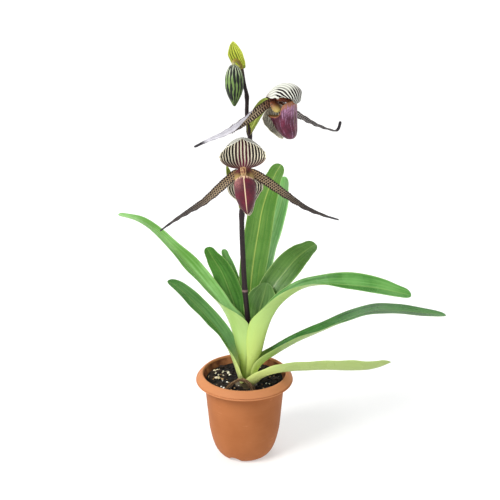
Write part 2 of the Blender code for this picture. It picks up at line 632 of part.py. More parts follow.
def pouch_ring(place, centre, inset):
    """Return one ring of the pouch, with a rim raised in front and a heel at the back."""
    half_width = value_at(POUCH_HALF_WIDTH, place) - inset
    half_depth = value_at(POUCH_HALF_DEPTH, place) - inset
    openness = max(0.0, 1.0 - place / 0.3)
    ring = []
    for k in range(POUCH_SIDES):
        angle = 2 * math.pi * k / POUCH_SIDES
        forward = math.cos(angle)
        heel = openness * max(0.0, -forward) ** 4
        lift = openness * (POUCH_RIM_RAISE * forward - POUCH_RIM_DIP * math.sin(angle) ** 2)
        ring.append(centre + np.array([half_width * math.sin(angle),
                                       POUCH_HEEL_REACH * heel - half_depth * forward,
                                       POUCH_HEEL_RAISE * heel + lift]))
    return ring


def make_pouch(flower, material):
    """Make the pouch: a thin, deep slipper that is open at the top."""
    rows = 9
    centres = smooth_path(POUCH_CENTRE, rows + 1)
    places = np.linspace(0, 1, rows + 1)
    outer = [pouch_ring(place, centre, 0.0) for place, centre in zip(places, centres)]
    lift = np.array([0.0, 0.0, POUCH_WALL])
    inner = [pouch_ring(place, centre + lift * place, POUCH_WALL)
             for place, centre in zip(places[:-1], centres[:-1])]
    rings = outer[::-1] + inner
    rings = [placed(ring, flower.hub, flower.yaw, flower.roll) for ring in rings]
    return ring_object(f"{flower.name}_pouch", rings, material)


def make_flower(flower, finishes):
    """Make every piece of one flower."""
    rows = 14
    path = smooth_path(flower.ovary, rows)
    radii = [value_at(OVARY_RADIUS, place) for place in np.linspace(0, 1, rows)]
    ring_object(f"{flower.name}_ovary", tube_rings(path, radii, 10), finishes["ovary"])
    sheet_object(f"{flower.name}_bract", blade_sheet(flower.bract), flower.bract.thickness,
                 finishes["bract"])
    make_sepal(flower, "dorsal_sepal", flower.dorsal_path, SEPAL_WIDTH, DORSAL_FACING,
               flower.dorsal_curl, finishes["sepal"], 12, 4)
    make_sepal(flower, "ventral_sepal", VENTRAL_PATH, VENTRAL_WIDTH, VENTRAL_FACING,
               VENTRAL_CURL, finishes["sepal"], 10, 3)
    make_petal(flower, "petal_left", flower.petal_left, finishes["petal"])
    make_petal(flower, "petal_right", flower.petal_right, finishes["petal"])
    make_pouch(flower, finishes["pouch"])
    rings = tube_rings(COLUMN_PATH, COLUMN_RADIUS, 10, flatten=0.5)
    rings = [placed(ring, flower.hub, flower.yaw, flower.roll) for ring in rings]
    ring_object(f"{flower.name}_column", rings, finishes["column"])


TOP_BRACT = Blade(((1.4, -6.2, 554.7), (-2, -7.5, 563), (-6, -11, 572), (-10, -16, 581),
                   (-13.5, -21, 589)),
                  ((0.0, (-0.6, -0.8, 0.1)), (1.0, (-0.3, -0.9, -0.3))),
                  ((0.0, 4.0), (0.3, 11.5), (0.6, 11.0), (0.85, 6.0), (1.0, 1.2)),
                  ((0.0, 20.0), (1.0, 15.0)), ((0.0, 50.0), (1.0, 30.0)), 0.9, 10, 2)
PEDICEL_PATH = ((-2.3, -10.9, 554.3), (-4, -14, 560), (-8, -19, 565.5), (-12, -24, 565),
                (-13, -26, 559.4))
PEDICEL_RADIUS = (2.0, 2.5)
BUD_TOP, BUD_TIP = (-13, -26, 558), (-12, -26, 509)
BUD_RADIUS = ((0.0, 3.0), (0.06, 5.5), (0.18, 8.6), (0.36, 10.8), (0.5, 11.0), (0.68, 9.4),
              (0.84, 6.0), (0.95, 2.6), (1.0, 0.9))


def make_top(finishes):
    """Make the unopened top of the stem: a bract, and a bud that hangs from its stalk."""
    sheet_object("top_bract", blade_sheet(TOP_BRACT), TOP_BRACT.thickness, finishes["bract"])
    path = smooth_path(PEDICEL_PATH, 12)
    radii = np.linspace(*PEDICEL_RADIUS, 12)
    ring_object("bud_stalk", tube_rings(path, radii, 8), finishes["ovary"])
    places = np.linspace(0, 1, 13)
    line = [np.array(BUD_TOP) * (1 - place) + np.array(BUD_TIP) * place for place in places]
    radii = [value_at(BUD_RADIUS, place) for place in places]
    ring_object("bud", tube_rings(line, radii, 14, flatten=0.9), finishes["bud"])


def main():
    """Clear the scene and make the whole plant in its pot."""
    for leftover in list(bpy.data.objects):
        bpy.data.objects.remove(leftover)
    finishes = {
        "pot": finish("terracotta_plastic", (0.50, 0.17, 0.075), 0.45),
        "mix": finish("bark_mix", (0.02, 0.016, 0.013), 0.9),
        "leaf": finish("leaf_green", (0.09, 0.26, 0.04), 0.4),
        "crown": finish("crown_green", (0.30, 0.38, 0.10), 0.5),
        "stem": finish("stem_purple", (0.045, 0.022, 0.032), 0.5),
        "dry": finish("dry_sheath", (0.20, 0.12, 0.06), 0.8),
        "ovary": finish("ovary_green", (0.20, 0.28, 0.06), 0.5),
        "bract": finish("bract_lime", (0.42, 0.55, 0.09), 0.5),
        "sepal": finish("sepal_stripe", (0.55, 0.50, 0.33), 0.5),
        "petal": finish("petal_spotted", (0.40, 0.30, 0.20), 0.5),
        "pouch": finish("pouch_maroon", (0.20, 0.03, 0.06), 0.35),
        "column": finish("column_yellow", (0.55, 0.42, 0.20), 0.5),
        "bud": finish("bud_dark", (0.10, 0.14, 0.07), 0.5),
    }
    make_pot(finishes["pot"])
    make_potting_mix(finishes["mix"])
    crown_solid("crown", 0.0, CROWN_TOP, finishes["crown"])
    make_stem(finishes["stem"])
    make_old_sheath(finishes["dry"])
    for leaf in LEAVES:
        make_leaf(leaf, finishes["leaf"])
    for flower in (FRONT_FLOWER, UPPER_FLOWER):
        make_flower(flower, finishes)
    make_top(finishes)


main()
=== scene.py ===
"""The looks of a slipper orchid in flower, in the round plastic pot that it grows in.

Sizes are in millimetres and become metres where a mesh is made. X is to the right, Y is away
from the front and Z is up. The pot stands on z = 0, centred on the Z axis. Each piece of the
plant keeps the form of the solid that it stands for, and adds to it the finer shape, pattern
and hair of the living thing.
"""
import logging
import math
import random
from dataclasses import dataclass, field, replace
from enum import Enum
from typing import Sequence, Union

import bpy
import numpy as np
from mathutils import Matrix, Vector, noise


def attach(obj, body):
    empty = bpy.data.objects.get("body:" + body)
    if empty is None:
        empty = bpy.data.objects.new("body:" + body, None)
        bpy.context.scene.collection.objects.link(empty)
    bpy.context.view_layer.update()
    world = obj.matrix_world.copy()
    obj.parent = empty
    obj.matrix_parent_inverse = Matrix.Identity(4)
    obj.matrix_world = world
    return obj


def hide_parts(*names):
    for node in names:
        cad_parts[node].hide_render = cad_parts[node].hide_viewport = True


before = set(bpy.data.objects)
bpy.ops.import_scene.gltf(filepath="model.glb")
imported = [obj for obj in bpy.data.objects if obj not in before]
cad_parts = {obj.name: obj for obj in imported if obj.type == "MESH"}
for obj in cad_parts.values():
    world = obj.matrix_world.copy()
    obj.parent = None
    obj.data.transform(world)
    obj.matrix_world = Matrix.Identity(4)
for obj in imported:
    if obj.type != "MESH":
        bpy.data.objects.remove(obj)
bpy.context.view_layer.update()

LOG = logging.getLogger("orchid")
MM = 0.001
TURN = 2 * math.pi
WELD = 2e-6
TINY = 1e-9
SURFACE = "surface"
BACK = "back"
PICK = "pick"
SHINE = 0.3
CURVE_STEPS = 24
ROOT = "root"

Piece = bpy.types.Object
Material = bpy.types.Material
Colour = tuple[float, float, float, float]
Stops = tuple[tuple, ...]
Point = tuple[float, float, float]
Shape = tuple[np.ndarray, np.ndarray]
Value = Union[float, tuple, "Signal"]

FLAT: Stops = ((0.0, 0.0), (1.0, 0.0))


def ink(red: int, green: int, blue: int) -> Colour:
    """Turn a colour of screen values into the shader's linear colour.

    Args:
        red: Red, from 0 to 255.
        green: Green, from 0 to 255.
        blue: Blue, from 0 to 255.

    Returns:
        The linear colour with full opacity.
    """
    parts = [part / 255 for part in (red, green, blue)]
    linear = [p / 12.92 if p <= 0.04045 else ((p + 0.055) / 1.055) ** 2.4 for p in parts]
    return (*linear, 1.0)


def unit(vectors: np.ndarray) -> np.ndarray:
    """Return a vector, or each row of vectors, at length one."""
    vectors = np.asarray(vectors, float)
    return vectors / np.maximum(np.linalg.norm(vectors, axis=-1, keepdims=True), 1e-12)


def lattice(along: np.ndarray, across: np.ndarray) -> np.ndarray:
    """Return the pair of places, along and across, of each point of a skin."""
    return np.stack(np.meshgrid(along, across, indexing="ij"), axis=-1)


def eased(stops: Stops, places: np.ndarray) -> np.ndarray:
    """Read values on a smooth curve through stops that never overshoots them.

    Args:
        stops: Pairs of a place and a number or a vector.
        places: The places to read.

    Returns:
        One value or vector for each place.
    """
    x = np.array([stop[0] for stop in stops], float)
    y = np.array([stop[1] for stop in stops], float)
    flat = y.ndim == 1
    y = y.reshape(len(x), -1)
    width = np.diff(x)[:, None]
    slope = np.diff(y, axis=0) / width
    tangent = np.vstack([slope[:1], np.zeros_like(slope[1:]), slope[-1:]])
    before, after = slope[:-1], slope[1:]
    agree = before * after > 0
    safe = np.where(agree, before + after, 1.0)
    tangent[1:-1] = np.where(agree, 2 * before * after / safe, 0.0)
    span = np.clip(np.searchsorted(x, places, side="right") - 1, 0, len(x) - 2)
    t = ((np.clip(places, x[0], x[-1]) - x[span]) / width[span, 0])[:, None]
    read = (y[span] * (1 + 2 * t) * (1 - t) ** 2 + y[span + 1] * t ** 2 * (3 - 2 * t)
            + width[span] * (tangent[span] * t * (1 - t) ** 2 + tangent[span + 1] * t ** 2 * (t - 1)))
    return read[:, 0] if flat else read


def smooth_line(points: Sequence[Point], places: np.ndarray) -> tuple[np.ndarray, np.ndarray]:
    """Follow a smooth curve through points.

    Args:
        points: The points that the curve goes through.
        places: Shares of the curve's length, from 0 to 1.

    Returns:
        The point and the unit direction at each place.
    """
    knots = np.array(points, float)
    ends = np.vstack([2 * knots[0] - knots[1], knots, 2 * knots[-1] - knots[-2]])
    t = np.linspace(0, 1, CURVE_STEPS, endpoint=False)[:, None]
    spans = []
    for before, start, stop, after in zip(ends, ends[1:], ends[2:], ends[3:]):
        linear = (stop - before) * t
        square = (2 * before - 5 * start + 4 * stop - after) * t ** 2
        cube = (3 * start - before - 3 * stop + after) * t ** 3
        spans.append(0.5 * (2 * start + linear + square + cube))
    dense = np.vstack([*spans, knots[-1:]])
    reach = np.concatenate([[0.0], np.cumsum(np.linalg.norm(np.diff(dense, axis=0), axis=1))])
    reach /= reach[-1]
    slopes = unit(np.gradient(dense, reach, axis=0))

    def read(values: np.ndarray) -> np.ndarray:
        """Return the rows of values at the wanted places."""
        return np.column_stack([np.interp(places, reach, column) for column in values.T])

    return read(dense), unit(read(slopes))


def rounding(places: np.ndarray, start: float, end: float) -> np.ndarray:
    """Work out how a blade or tube closes at its ends.

    Args:
        places: Shares of its length.
        start: The share over which it opens.
        end: The share over which it closes.

    Returns:
        A factor for each place: 1 that falls to 0 in a round end.
    """
    near_start = np.clip(1 - places / max(start, TINY), 0, 1)
    near_end = np.clip((places - 1 + end) / max(end, TINY), 0, 1)
    return np.sqrt((1 - near_start ** 2) * (1 - near_end ** 2))


def placed(points: np.ndarray, hub: Point, yaw: float, roll: float = 0.0) -> np.ndarray:
    """Put points of a flower's own frame where the flower is.

    Args:
        points: The points.
        hub: Where the frame's origin goes.
        yaw: How far they are turned about Z, in degrees.
        roll: How far they are tipped sideways before that, in degrees.

    Returns:
        The points in their new place.
    """
    tip, turn = math.radians(roll), math.radians(yaw)
    sway = np.array([[math.cos(tip), 0, -math.sin(tip)], [0, 1, 0],
                     [math.sin(tip), 0, math.cos(tip)]])
    spin = np.array([[math.cos(turn), -math.sin(turn), 0], [math.sin(turn), math.cos(turn), 0],
                     [0, 0, 1]])
    return np.asarray(points, float) @ sway.T @ spin.T + np.array(hub)


@dataclass
class Skin:
    """A closed skin as rings of points, the last point of each ring repeating its first.

    Each point has a place along and across the surface, and a share of being on its back.
    """

    points: np.ndarray
    places: np.ndarray
    back: np.ndarray


@dataclass(frozen=True)
class Blade:
    """A leaf, sepal, petal or bract, given by its midrib and by how its two halves stand.

    Every list of stops pairs a place, from 0 at the base to 1 at the tip, with a value.
    """

    path: tuple
    facing: Stops
    half_width: Stops
    crease: Stops
    curl: Stops
    thickness: float = 1.0
    tip: float = 0.06
    twist: Stops = FLAT
    wave_height: float = 0.0
    wave_count: float = 5.0
    groove: float = 0.0
    keel: float = 0.0
    crowding: float = 1.5

    def sheet(self, places: np.ndarray, across: np.ndarray) -> tuple[np.ndarray, np.ndarray]:
        """Work out the middle sheet of the blade.

        Args:
            places: Shares of the midrib's length, base to tip.
            across: Shares of the half width, from -1 at one margin to 1 at the other.

        Returns:
            The points and the unit normals, a row for each place.
        """
        centre, along = smooth_line(self.path, places)
        facing = eased(self.facing, places)
        normal = unit(facing - along * np.sum(along * facing, axis=1, keepdims=True))
        side = np.cross(along, normal)
        twist = np.radians(eased(self.twist, places))[:, None]
        normal = normal * np.cos(twist) + side * np.sin(twist)
        side = np.cross(along, normal)
        width = eased(self.half_width, places) * rounding(places, 0.0, self.tip)
        crease = np.radians(eased(self.crease, places))[:, None]
        curl = np.radians(eased(self.curl, places))[:, None]
        curl = np.where(np.abs(curl) < 1e-4, 1e-4, curl)
        hand, out = np.sign(across)[None, :], np.abs(across)[None, :]
        turn = crease + curl * out
        reach = width[:, None] * (np.sin(turn) - np.sin(crease)) / curl * hand
        rise = width[:, None] * (np.cos(crease) - np.cos(turn)) / curl
        up = unit(normal[:, None] * np.cos(turn)[..., None]
                  - side[:, None] * (hand * np.sin(turn))[..., None])
        fade = np.sin(math.pi * np.clip(places, 0, 1))[:, None]
        wave = np.sin(TURN * self.wave_count * places[:, None] + 1.3 * hand)
        lift = self.wave_height * out ** 2.5 * wave * fade
        points = (centre[:, None] + side[:, None] * reach[..., None]
                  + normal[:, None] * rise[..., None] + up * lift[..., None])
        return points, up

    def skin(self, rows: int, columns: int) -> Skin:
        """Give the blade its thickness, which tapers to a fine margin.

        Args:
            rows: Number of steps along the blade.
            columns: Number of steps across it.

        Returns:
            The closed skin.
        """
        places = 1 - (1 - np.linspace(0, 1, rows + 1)) ** self.crowding
        across = -np.cos(math.pi * np.arange(columns + 1) / columns)
        across[np.abs(across) < TINY] = 0.0
        points, up = self.sheet(places, across)
        out = np.abs(across)[None, :]
        ends = rounding(places, 0.004, self.tip * 0.6)[:, None]
        half = self.thickness / 2 * np.sqrt(1 - out ** 4) * ends
        rib = np.exp(-(out / 0.1) ** 2) * ends * (1 - places[:, None])
        top = points + up * (half - self.groove * rib)[..., None]
        under = points - up * (half + self.keel * rib)[..., None]
        ring = np.concatenate([top, under[:, -2:0:-1], top[:, :1]], axis=1)
        cross = (across + 1) / 2
        cross = np.concatenate([cross, cross[-2:0:-1], cross[:1]])
        back = np.concatenate([[0.5], np.zeros(columns - 1), [0.5], np.ones(columns - 1), [0.5]])
        return Skin(ring, lattice(places, cross), np.tile(back, (rows + 1, 1)))


@dataclass(frozen=True)
class Tube:
    """A stem, stalk or bud: round rings along a path, closed by rounded ends."""

    path: tuple
    radius: Stops
    flatten: float = 1.0
    swells: tuple = ()
    swell_length: float = 5.0
    ribs: int = 0
    rib_height: float = 0.0
    start: float = 0.0
    end: float = 0.0
    crowding: float = 0.92

    def skin(self, rows: int, sides: int) -> Skin:
        """Work out the tube's closed skin.

        Args:
            rows: Number of steps along the tube.
            sides: Number of steps round it.

        Returns:
            The closed skin, its places across running once round.
        """
        even = np.linspace(0, 1, rows + 1)
        places = even - self.crowding * np.sin(TURN * even) / TURN
        centre, along = smooth_line(self.path, places)
        length = np.linalg.norm(np.diff(centre, axis=0), axis=1).sum()
        radius = eased(self.radius, places)
        start = self.start or radius[0] / length
        end = self.end or radius[-1] / length
        for height, size in self.swells:
            radius = radius + size * np.exp(-((centre[:, 2] - height) / self.swell_length) ** 2)
        radius = radius * rounding(places, start, end)
        angles = np.linspace(0, TURN, sides + 1)
        shape = 1 + self.rib_height * np.cos(self.ribs * angles)
        rings = []
        side = unit(np.cross(along[0], (0.0, 1.0, 0.3)))
        for point, direction, size in zip(centre, along, radius):
            side = unit(side - direction * side.dot(direction))
            depth = np.cross(direction, side) * self.flatten
            ring = np.outer(np.cos(angles) * shape, side) + np.outer(np.sin(angles) * shape, depth)
            rings.append(point + size * ring)
        return Skin(np.array(rings), lattice(places, angles / TURN),
                    np.zeros((rows + 1, sides + 1)))


def turned(profile: Sequence[tuple[float, float]], sides: int) -> Skin:
    """Turn a profile of (radius, height) points about the Z axis.

    Args:
        profile: The outline, from the axis round to the axis.
        sides: Number of steps round.

    Returns:
        The closed skin, its places giving the share of the outline and of the turn.
    """
    line = np.array(profile, float)
    angles = np.linspace(0, TURN, sides + 1)
    points = np.stack([np.outer(line[:, 0], np.cos(angles)), np.outer(line[:, 0], np.sin(angles)),
                       np.tile(line[:, 1:], (1, sides + 1))], axis=-1)
    grid = lattice(np.linspace(0, 1, len(line)), angles / TURN)
    return Skin(points, grid, np.zeros(points.shape[:2]))


def pick_out(piece: Piece) -> None:
    """Select one piece alone and make it the active one.

    Args:
        piece: The piece.
    """
    bpy.ops.object.select_all(action="DESELECT")
    piece.select_set(True)
    bpy.context.view_layer.objects.active = piece


def shade(piece: Piece, angle: float) -> None:
    """Shade a piece smooth, but for edges sharper than an angle in degrees."""
    pick_out(piece)
    bpy.ops.object.shade_smooth_by_angle(angle=math.radians(angle))


def apply_modifier(piece: Piece, modifier: bpy.types.Modifier) -> None:
    """Apply one modifier to its piece."""
    with bpy.context.temp_override(object=piece, active_object=piece):
        bpy.ops.object.modifier_apply(modifier=modifier.name)


def weld(piece: Piece) -> None:
    """Close a piece's seams and poles and point its faces out.

    Args:
        piece: The piece.
    """
    pick_out(piece)
    bpy.ops.object.mode_set(mode="EDIT")
    bpy.ops.mesh.select_all(action="SELECT")
    bpy.ops.mesh.remove_doubles(threshold=WELD)
    bpy.ops.mesh.normals_make_consistent(inside=False)
    bpy.ops.object.mode_set(mode="OBJECT")


def rolled(name: str, skin: Skin, smooth: int = 1, sharp: float = 60.0) -> Piece:
    """Roll a grid up on a skin's rings, close it and round it off.

    Args:
        name: The piece's name.
        skin: The rings that the grid is laid on, in millimetres.
        smooth: Levels of subdivision.
        sharp: Edges that turn by more than this many degrees stay sharp.

    Returns:
        The closed piece, its place in its mesh.
    """
    rows, columns = skin.points.shape[:2]
    bpy.ops.object.select_all(action="DESELECT")
    bpy.ops.mesh.primitive_grid_add(x_subdivisions=rows - 1, y_subdivisions=columns - 1,
                                    size=1.0, location=(0, 0, 0))
    piece = bpy.context.object
    piece.name = piece.data.name = name
    mesh = piece.data
    spots = np.zeros(len(mesh.vertices) * 3)
    mesh.vertices.foreach_get("co", spots)
    spots = spots.reshape(-1, 3) + 0.5
    row = np.rint(spots[:, 0] * (rows - 1)).astype(int)
    column = np.rint(spots[:, 1] * (columns - 1)).astype(int)
    mesh.vertices.foreach_set("co", (skin.points[row, column] * MM).ravel())
    corners = np.zeros(len(mesh.loops), int)
    mesh.loops.foreach_get("vertex_index", corners)
    layer = mesh.uv_layers[0]
    layer.name = SURFACE
    layer.uv.foreach_set("vector", skin.places[row, column][corners].astype(np.float32).ravel())
    back = mesh.attributes.new(BACK, "FLOAT", "POINT")
    back.data.foreach_set("value", skin.back[row, column].astype(np.float32))
    mesh.update()
    weld(piece)
    if smooth:
        round_off = piece.modifiers.new("Round off", "SUBSURF")
        round_off.levels = round_off.render_levels = smooth
        apply_modifier(piece, round_off)
    shade(piece, sharp)
    return piece


@dataclass
class Cluster:
    """Many small copies of a few modelled shapes, gathered into one piece."""

    points: list = field(default_factory=list)
    faces: list = field(default_factory=list)
    picks: list = field(default_factory=list)
    count: int = 0

    @staticmethod
    def shape(piece: Piece) -> Shape:
        """Take the shape that was modelled as an object, and remove the object.

        Args:
            piece: The object.

        Returns:
            Its points and triangles.
        """
        mesh = piece.data
        mesh.calc_loop_triangles()
        points = np.array([vertex.co for vertex in mesh.vertices], float)
        faces = np.array([triangle.vertices for triangle in mesh.loop_triangles], int)
        bpy.data.objects.remove(piece)
        return points, faces

    def add(self, shape: Shape, place: Point, axes: np.ndarray, pick: float) -> None:
        """Add one copy.

        Args:
            shape: The points and triangles to copy.
            place: Where the copy's own origin goes, in millimetres.
            axes: Three rows, each the direction and size of one of the copy's axes.
            pick: A number from 0 to 1 that varies the copy's colour.
        """
        points, faces = shape
        self.points.append(points @ np.asarray(axes) + np.asarray(place))
        self.faces.append(faces + self.count)
        self.picks.append(np.full(len(points), pick))
        self.count += len(points)

    def build(self, name: str, sharp: float = 40.0) -> Piece:
        """Make one piece of all the copies.

        Args:
            name: The piece's name.
            sharp: Edges that turn by more than this many degrees stay sharp.

        Returns:
            The piece, its place in its mesh.
        """
        mesh = bpy.data.meshes.new(name)
        points = np.vstack(self.points) * MM
        mesh.from_pydata(points.tolist(), [], np.vstack(self.faces).tolist())
        pick = mesh.attributes.new(PICK, "FLOAT", "POINT")
        pick.data.foreach_set("value", np.concatenate(self.picks).astype(np.float32))
        piece = bpy.data.objects.new(name, mesh)
        bpy.context.scene.collection.objects.link(piece)
        shade(piece, sharp)
        return piece


def hair_shape() -> Shape:
    """Model one hair: a three-sided cone, one long and one thick, that stands on its origin.

    Returns:
        Its points and triangles.
    """
    bpy.ops.object.select_all(action="DESELECT")
    bpy.ops.mesh.primitive_cone_add(vertices=3, radius1=1.0, radius2=0.0, depth=1.0)
    points, faces = Cluster.shape(bpy.context.object)
    return points + np.array([0.0, 0.0, 0.5]), faces


def pebble_shape(detail: int, seed: int, roughness: float, flat: float) -> Shape:
    """Model one rough grain or chip, about two across.

    Args:
        detail: Subdivisions of the ball that it is shaped from.
        seed: Which of the many possible grains it is.
        roughness: How far its points are pushed in and out.
        flat: Its height as a share of its width.

    Returns:
        Its points and triangles.
    """
    bpy.ops.object.select_all(action="DESELECT")
    bpy.ops.mesh.primitive_ico_sphere_add(subdivisions=detail, radius=1.0, location=(0, 0, 0))
    points, faces = Cluster.shape(bpy.context.object)
    push = [1 + roughness * noise.noise(Vector(point) * 1.7 + Vector((seed * 7.3, 0, 0)))
            for point in points]
    points = points * np.array(push)[:, None]
    points[:, 2] *= flat
    return points, faces


def hair_axes(direction: np.ndarray, length: float, radius: float) -> np.ndarray:
    """Work out the axes of one hair.

    Args:
        direction: Where it points.
        length: How long it is.
        radius: How thick it is at the root.

    Returns:
        Three rows, each the direction and size of one axis.
    """
    up = unit(direction)
    side = unit(np.cross(up, (0.3, 0.8, 0.5)))
    return np.array([side * radius, np.cross(up, side) * radius, up * length])


class Signal:
    """One output of a node, which can be reckoned with as if it were a number."""

    def __init__(self, graph: "Graph", socket: bpy.types.NodeSocket) -> None:
        """Keep the output's socket and the graph that it is in."""
        self.graph, self.socket = graph, socket

    def __add__(self, other: Value) -> "Signal":
        """Return the sum."""
        return self.graph.math("ADD", self, other)

    def __sub__(self, other: Value) -> "Signal":
        """Return the difference."""
        return self.graph.math("SUBTRACT", self, other)

    def __rsub__(self, other: Value) -> "Signal":
        """Return a plain number less this one."""
        return self.graph.math("SUBTRACT", other, self)

    def __mul__(self, other: Value) -> "Signal":
        """Return the product."""
        return self.graph.math("MULTIPLY", self, other)

    def __abs__(self) -> "Signal":
        """Return the number without its sign."""
        return self.graph.math("ABSOLUTE", self)

    def or_more(self, other: "Signal") -> "Signal":
        """Return the larger of the two."""
        return self.graph.math("MAXIMUM", self, other)

    def off_whole(self) -> "Signal":
        """Return how far this is from the nearest whole number."""
        return self.graph.math("PINGPONG", self, 0.5)

    def step(self, low: float, high: float) -> "Signal":
        """Return a smooth step from 0 where this is at low to 1 where it is at high."""
        return self.graph.node("MapRange", {0: self, 1: low, 2: high},
                               interpolation_type="SMOOTHSTEP")[0]


class Graph:
    """The node tree of one material, built with short calls."""

    def __init__(self, name: str) -> None:
        """Start a material that has only its shader and its output.

        Args:
            name: The material's name.
        """
        self.material = bpy.data.materials.new(name)
        self.material.use_nodes = True
        self.tree = self.material.node_tree
        self.shader = self.tree.nodes["Principled BSDF"]

    def node(self, kind: str, inputs: dict, **settings: str) -> list[Signal]:
        """Add a node.

        Args:
            kind: The kind of node.
            inputs: The value or the signal that each input gets.
            settings: The node's own settings.

        Returns:
            The node's outputs.
        """
        made = self.tree.nodes.new("ShaderNode" + kind)
        for key, value in settings.items():
            setattr(made, key, value)
        for key, value in inputs.items():
            self.feed(made.inputs[key], value)
        return [Signal(self, socket) for socket in made.outputs]

    def feed(self, socket: bpy.types.NodeSocket, value: Value) -> None:
        """Link a socket to a signal, or give it a plain value.

        Args:
            socket: The input.
            value: What it gets.
        """
        if isinstance(value, Signal):
            self.tree.links.new(value.socket, socket)
        else:
            socket.default_value = value

    def math(self, operation: str, *values: Value) -> Signal:
        """Return the result of one arithmetic step."""
        return self.node("Math", dict(enumerate(values)), operation=operation)[0]

    def mix(self, share: Value, first: Value, second: Value) -> Signal:
        """Return the first colour, turned into the second by a share."""
        return self.node("Mix", {0: share, 6: first, 7: second}, data_type="RGBA")[2]

    def layered(self, ground: Value, *layers: tuple[Signal, Value]) -> Signal:
        """Lay colours over a ground, one after another.

        Args:
            ground: The first colour.
            layers: Pairs of the share by which a colour covers what is under it, and the colour.

        Returns:
            The colour on top.
        """
        for share, colour in layers:
            ground = self.mix(share, ground, colour)
        return ground

    def apart(self, vector: Value) -> list[Signal]:
        """Return the three numbers of a vector."""
        return self.node("SeparateXYZ", {0: vector})

    def spread(self, x: Value, y: Value, z: Value = 0.0) -> Signal:
        """Return a vector of numbers."""
        return self.node("CombineXYZ", {0: x, 1: y, 2: z})[0]

    def surface(self) -> list[Signal]:
        """Return the place along and across the piece's own surface."""
        return self.apart(self.node("UVMap", {}, uv_map=SURFACE)[0])[:2]

    def attribute(self, name: str) -> Signal:
        """Return one of the piece's own numbers."""
        return self.node("Attribute", {}, attribute_name=name)[2]

    def place(self) -> Signal:
        """Return the place in the object's own coordinates, in metres."""
        return self.node("TexCoord", {})[3]

    def noise(self, vector: Value, scale: float, detail: float = 3.0) -> Signal:
        """Return soft noise of about 0 to 1 at a scale."""
        return self.node("TexNoise", {"Vector": vector, "Scale": scale, "Detail": detail})[0]

    def cells(self, vector: Value, scale: float, loose: float = 1.0,
              feature: str = "F1") -> Signal:
        """Return the distance from the middles of scattered cells, or from their edges."""
        return self.node("TexVoronoi", {"Vector": vector, "Scale": scale, "Randomness": loose},
                         feature=feature)[0]

    def streaks(self, along: Signal, across: Signal, few: float, many: float,
                detail: float = 3.0) -> Signal:
        """Return noise drawn out along the surface: few changes along it, many across."""
        return self.noise(self.spread(along * few, across * many), 1.0, detail)

    def bump(self, height: Signal, depth: float, strength: float) -> None:
        """Give the shader a relief that is depth metres deep."""
        bump = self.node("Bump", {"Height": height, "Distance": depth, "Strength": strength})
        self.feed(self.shader.inputs["Normal"], bump[0])

    def finish(self, colour: Value, roughness: Value, **sockets: Value) -> Material:
        """Give the shader its colour and roughness, and plain values for other sockets.

        Args:
            colour: The base colour.
            roughness: The roughness.
            sockets: Other sockets by name, with _ for a space.

        Returns:
            The finished material.
        """
        looks = {"Base_Color": colour, "Roughness": roughness, "Specular_IOR_Level": SHINE}
        for name, value in {**looks, **sockets}.items():
            self.feed(self.shader.inputs[name.replace("_", " ")], value)
        return self.material


@dataclass(frozen=True)
class LeafFinish:
    """The living surface of one leaf: parallel veins, a pale rib and a blanched base."""

    name: str
    fresh: Colour
    deep: Colour
    rib: Colour = ink(176, 200, 112)
    back: Colour = ink(176, 204, 118)
    base: Colour = ink(206, 220, 132)
    margin: Colour = ink(176, 204, 120)
    base_reach: float = 0.36
    rib_strength: float = 0.25
    roughness: float = 0.28

    def material(self) -> Material:
        """Build the leaf's material on its own surface coordinates.

        Returns:
            The material.
        """
        graph = Graph(self.name)
        along, across = graph.surface()
        from_rib = abs(across - 0.5)
        veins = graph.streaks(along, across, 5.0, 95.0, 2.0)
        bands = graph.streaks(along, across, 2.0, 9.0)
        cloud = graph.noise(graph.place(), 26.0)
        rib = from_rib.step(0.035, 0.006) * self.rib_strength
        reach = along + (bands - 0.5) * 0.14
        flecks = graph.cells(graph.place(), 210.0).step(0.16, 0.05) * cloud.step(0.56, 0.66)
        colour = graph.layered(
            self.deep,
            ((bands * 0.6 + cloud * 0.4).step(0.36, 0.64), self.fresh),
            (veins.step(0.52, 0.72) * 0.22, self.rib),
            (veins.step(0.46, 0.28) * 0.25, self.deep),
            (graph.attribute(BACK).step(0.5, 0.9) * 0.8, self.back),
            (rib, self.rib),
            (from_rib.step(0.468, 0.495) * 0.7, self.margin),
            (reach.step(self.base_reach, self.base_reach * 0.25), self.base),
            (flecks * 0.35, self.back))
        graph.bump(veins - rib * 0.8, 0.0006, 0.5)
        rough = cloud * 0.22 + (self.roughness - 0.11)
        return graph.finish(colour, rough, Coat_Weight=0.12, Coat_Roughness=0.2)


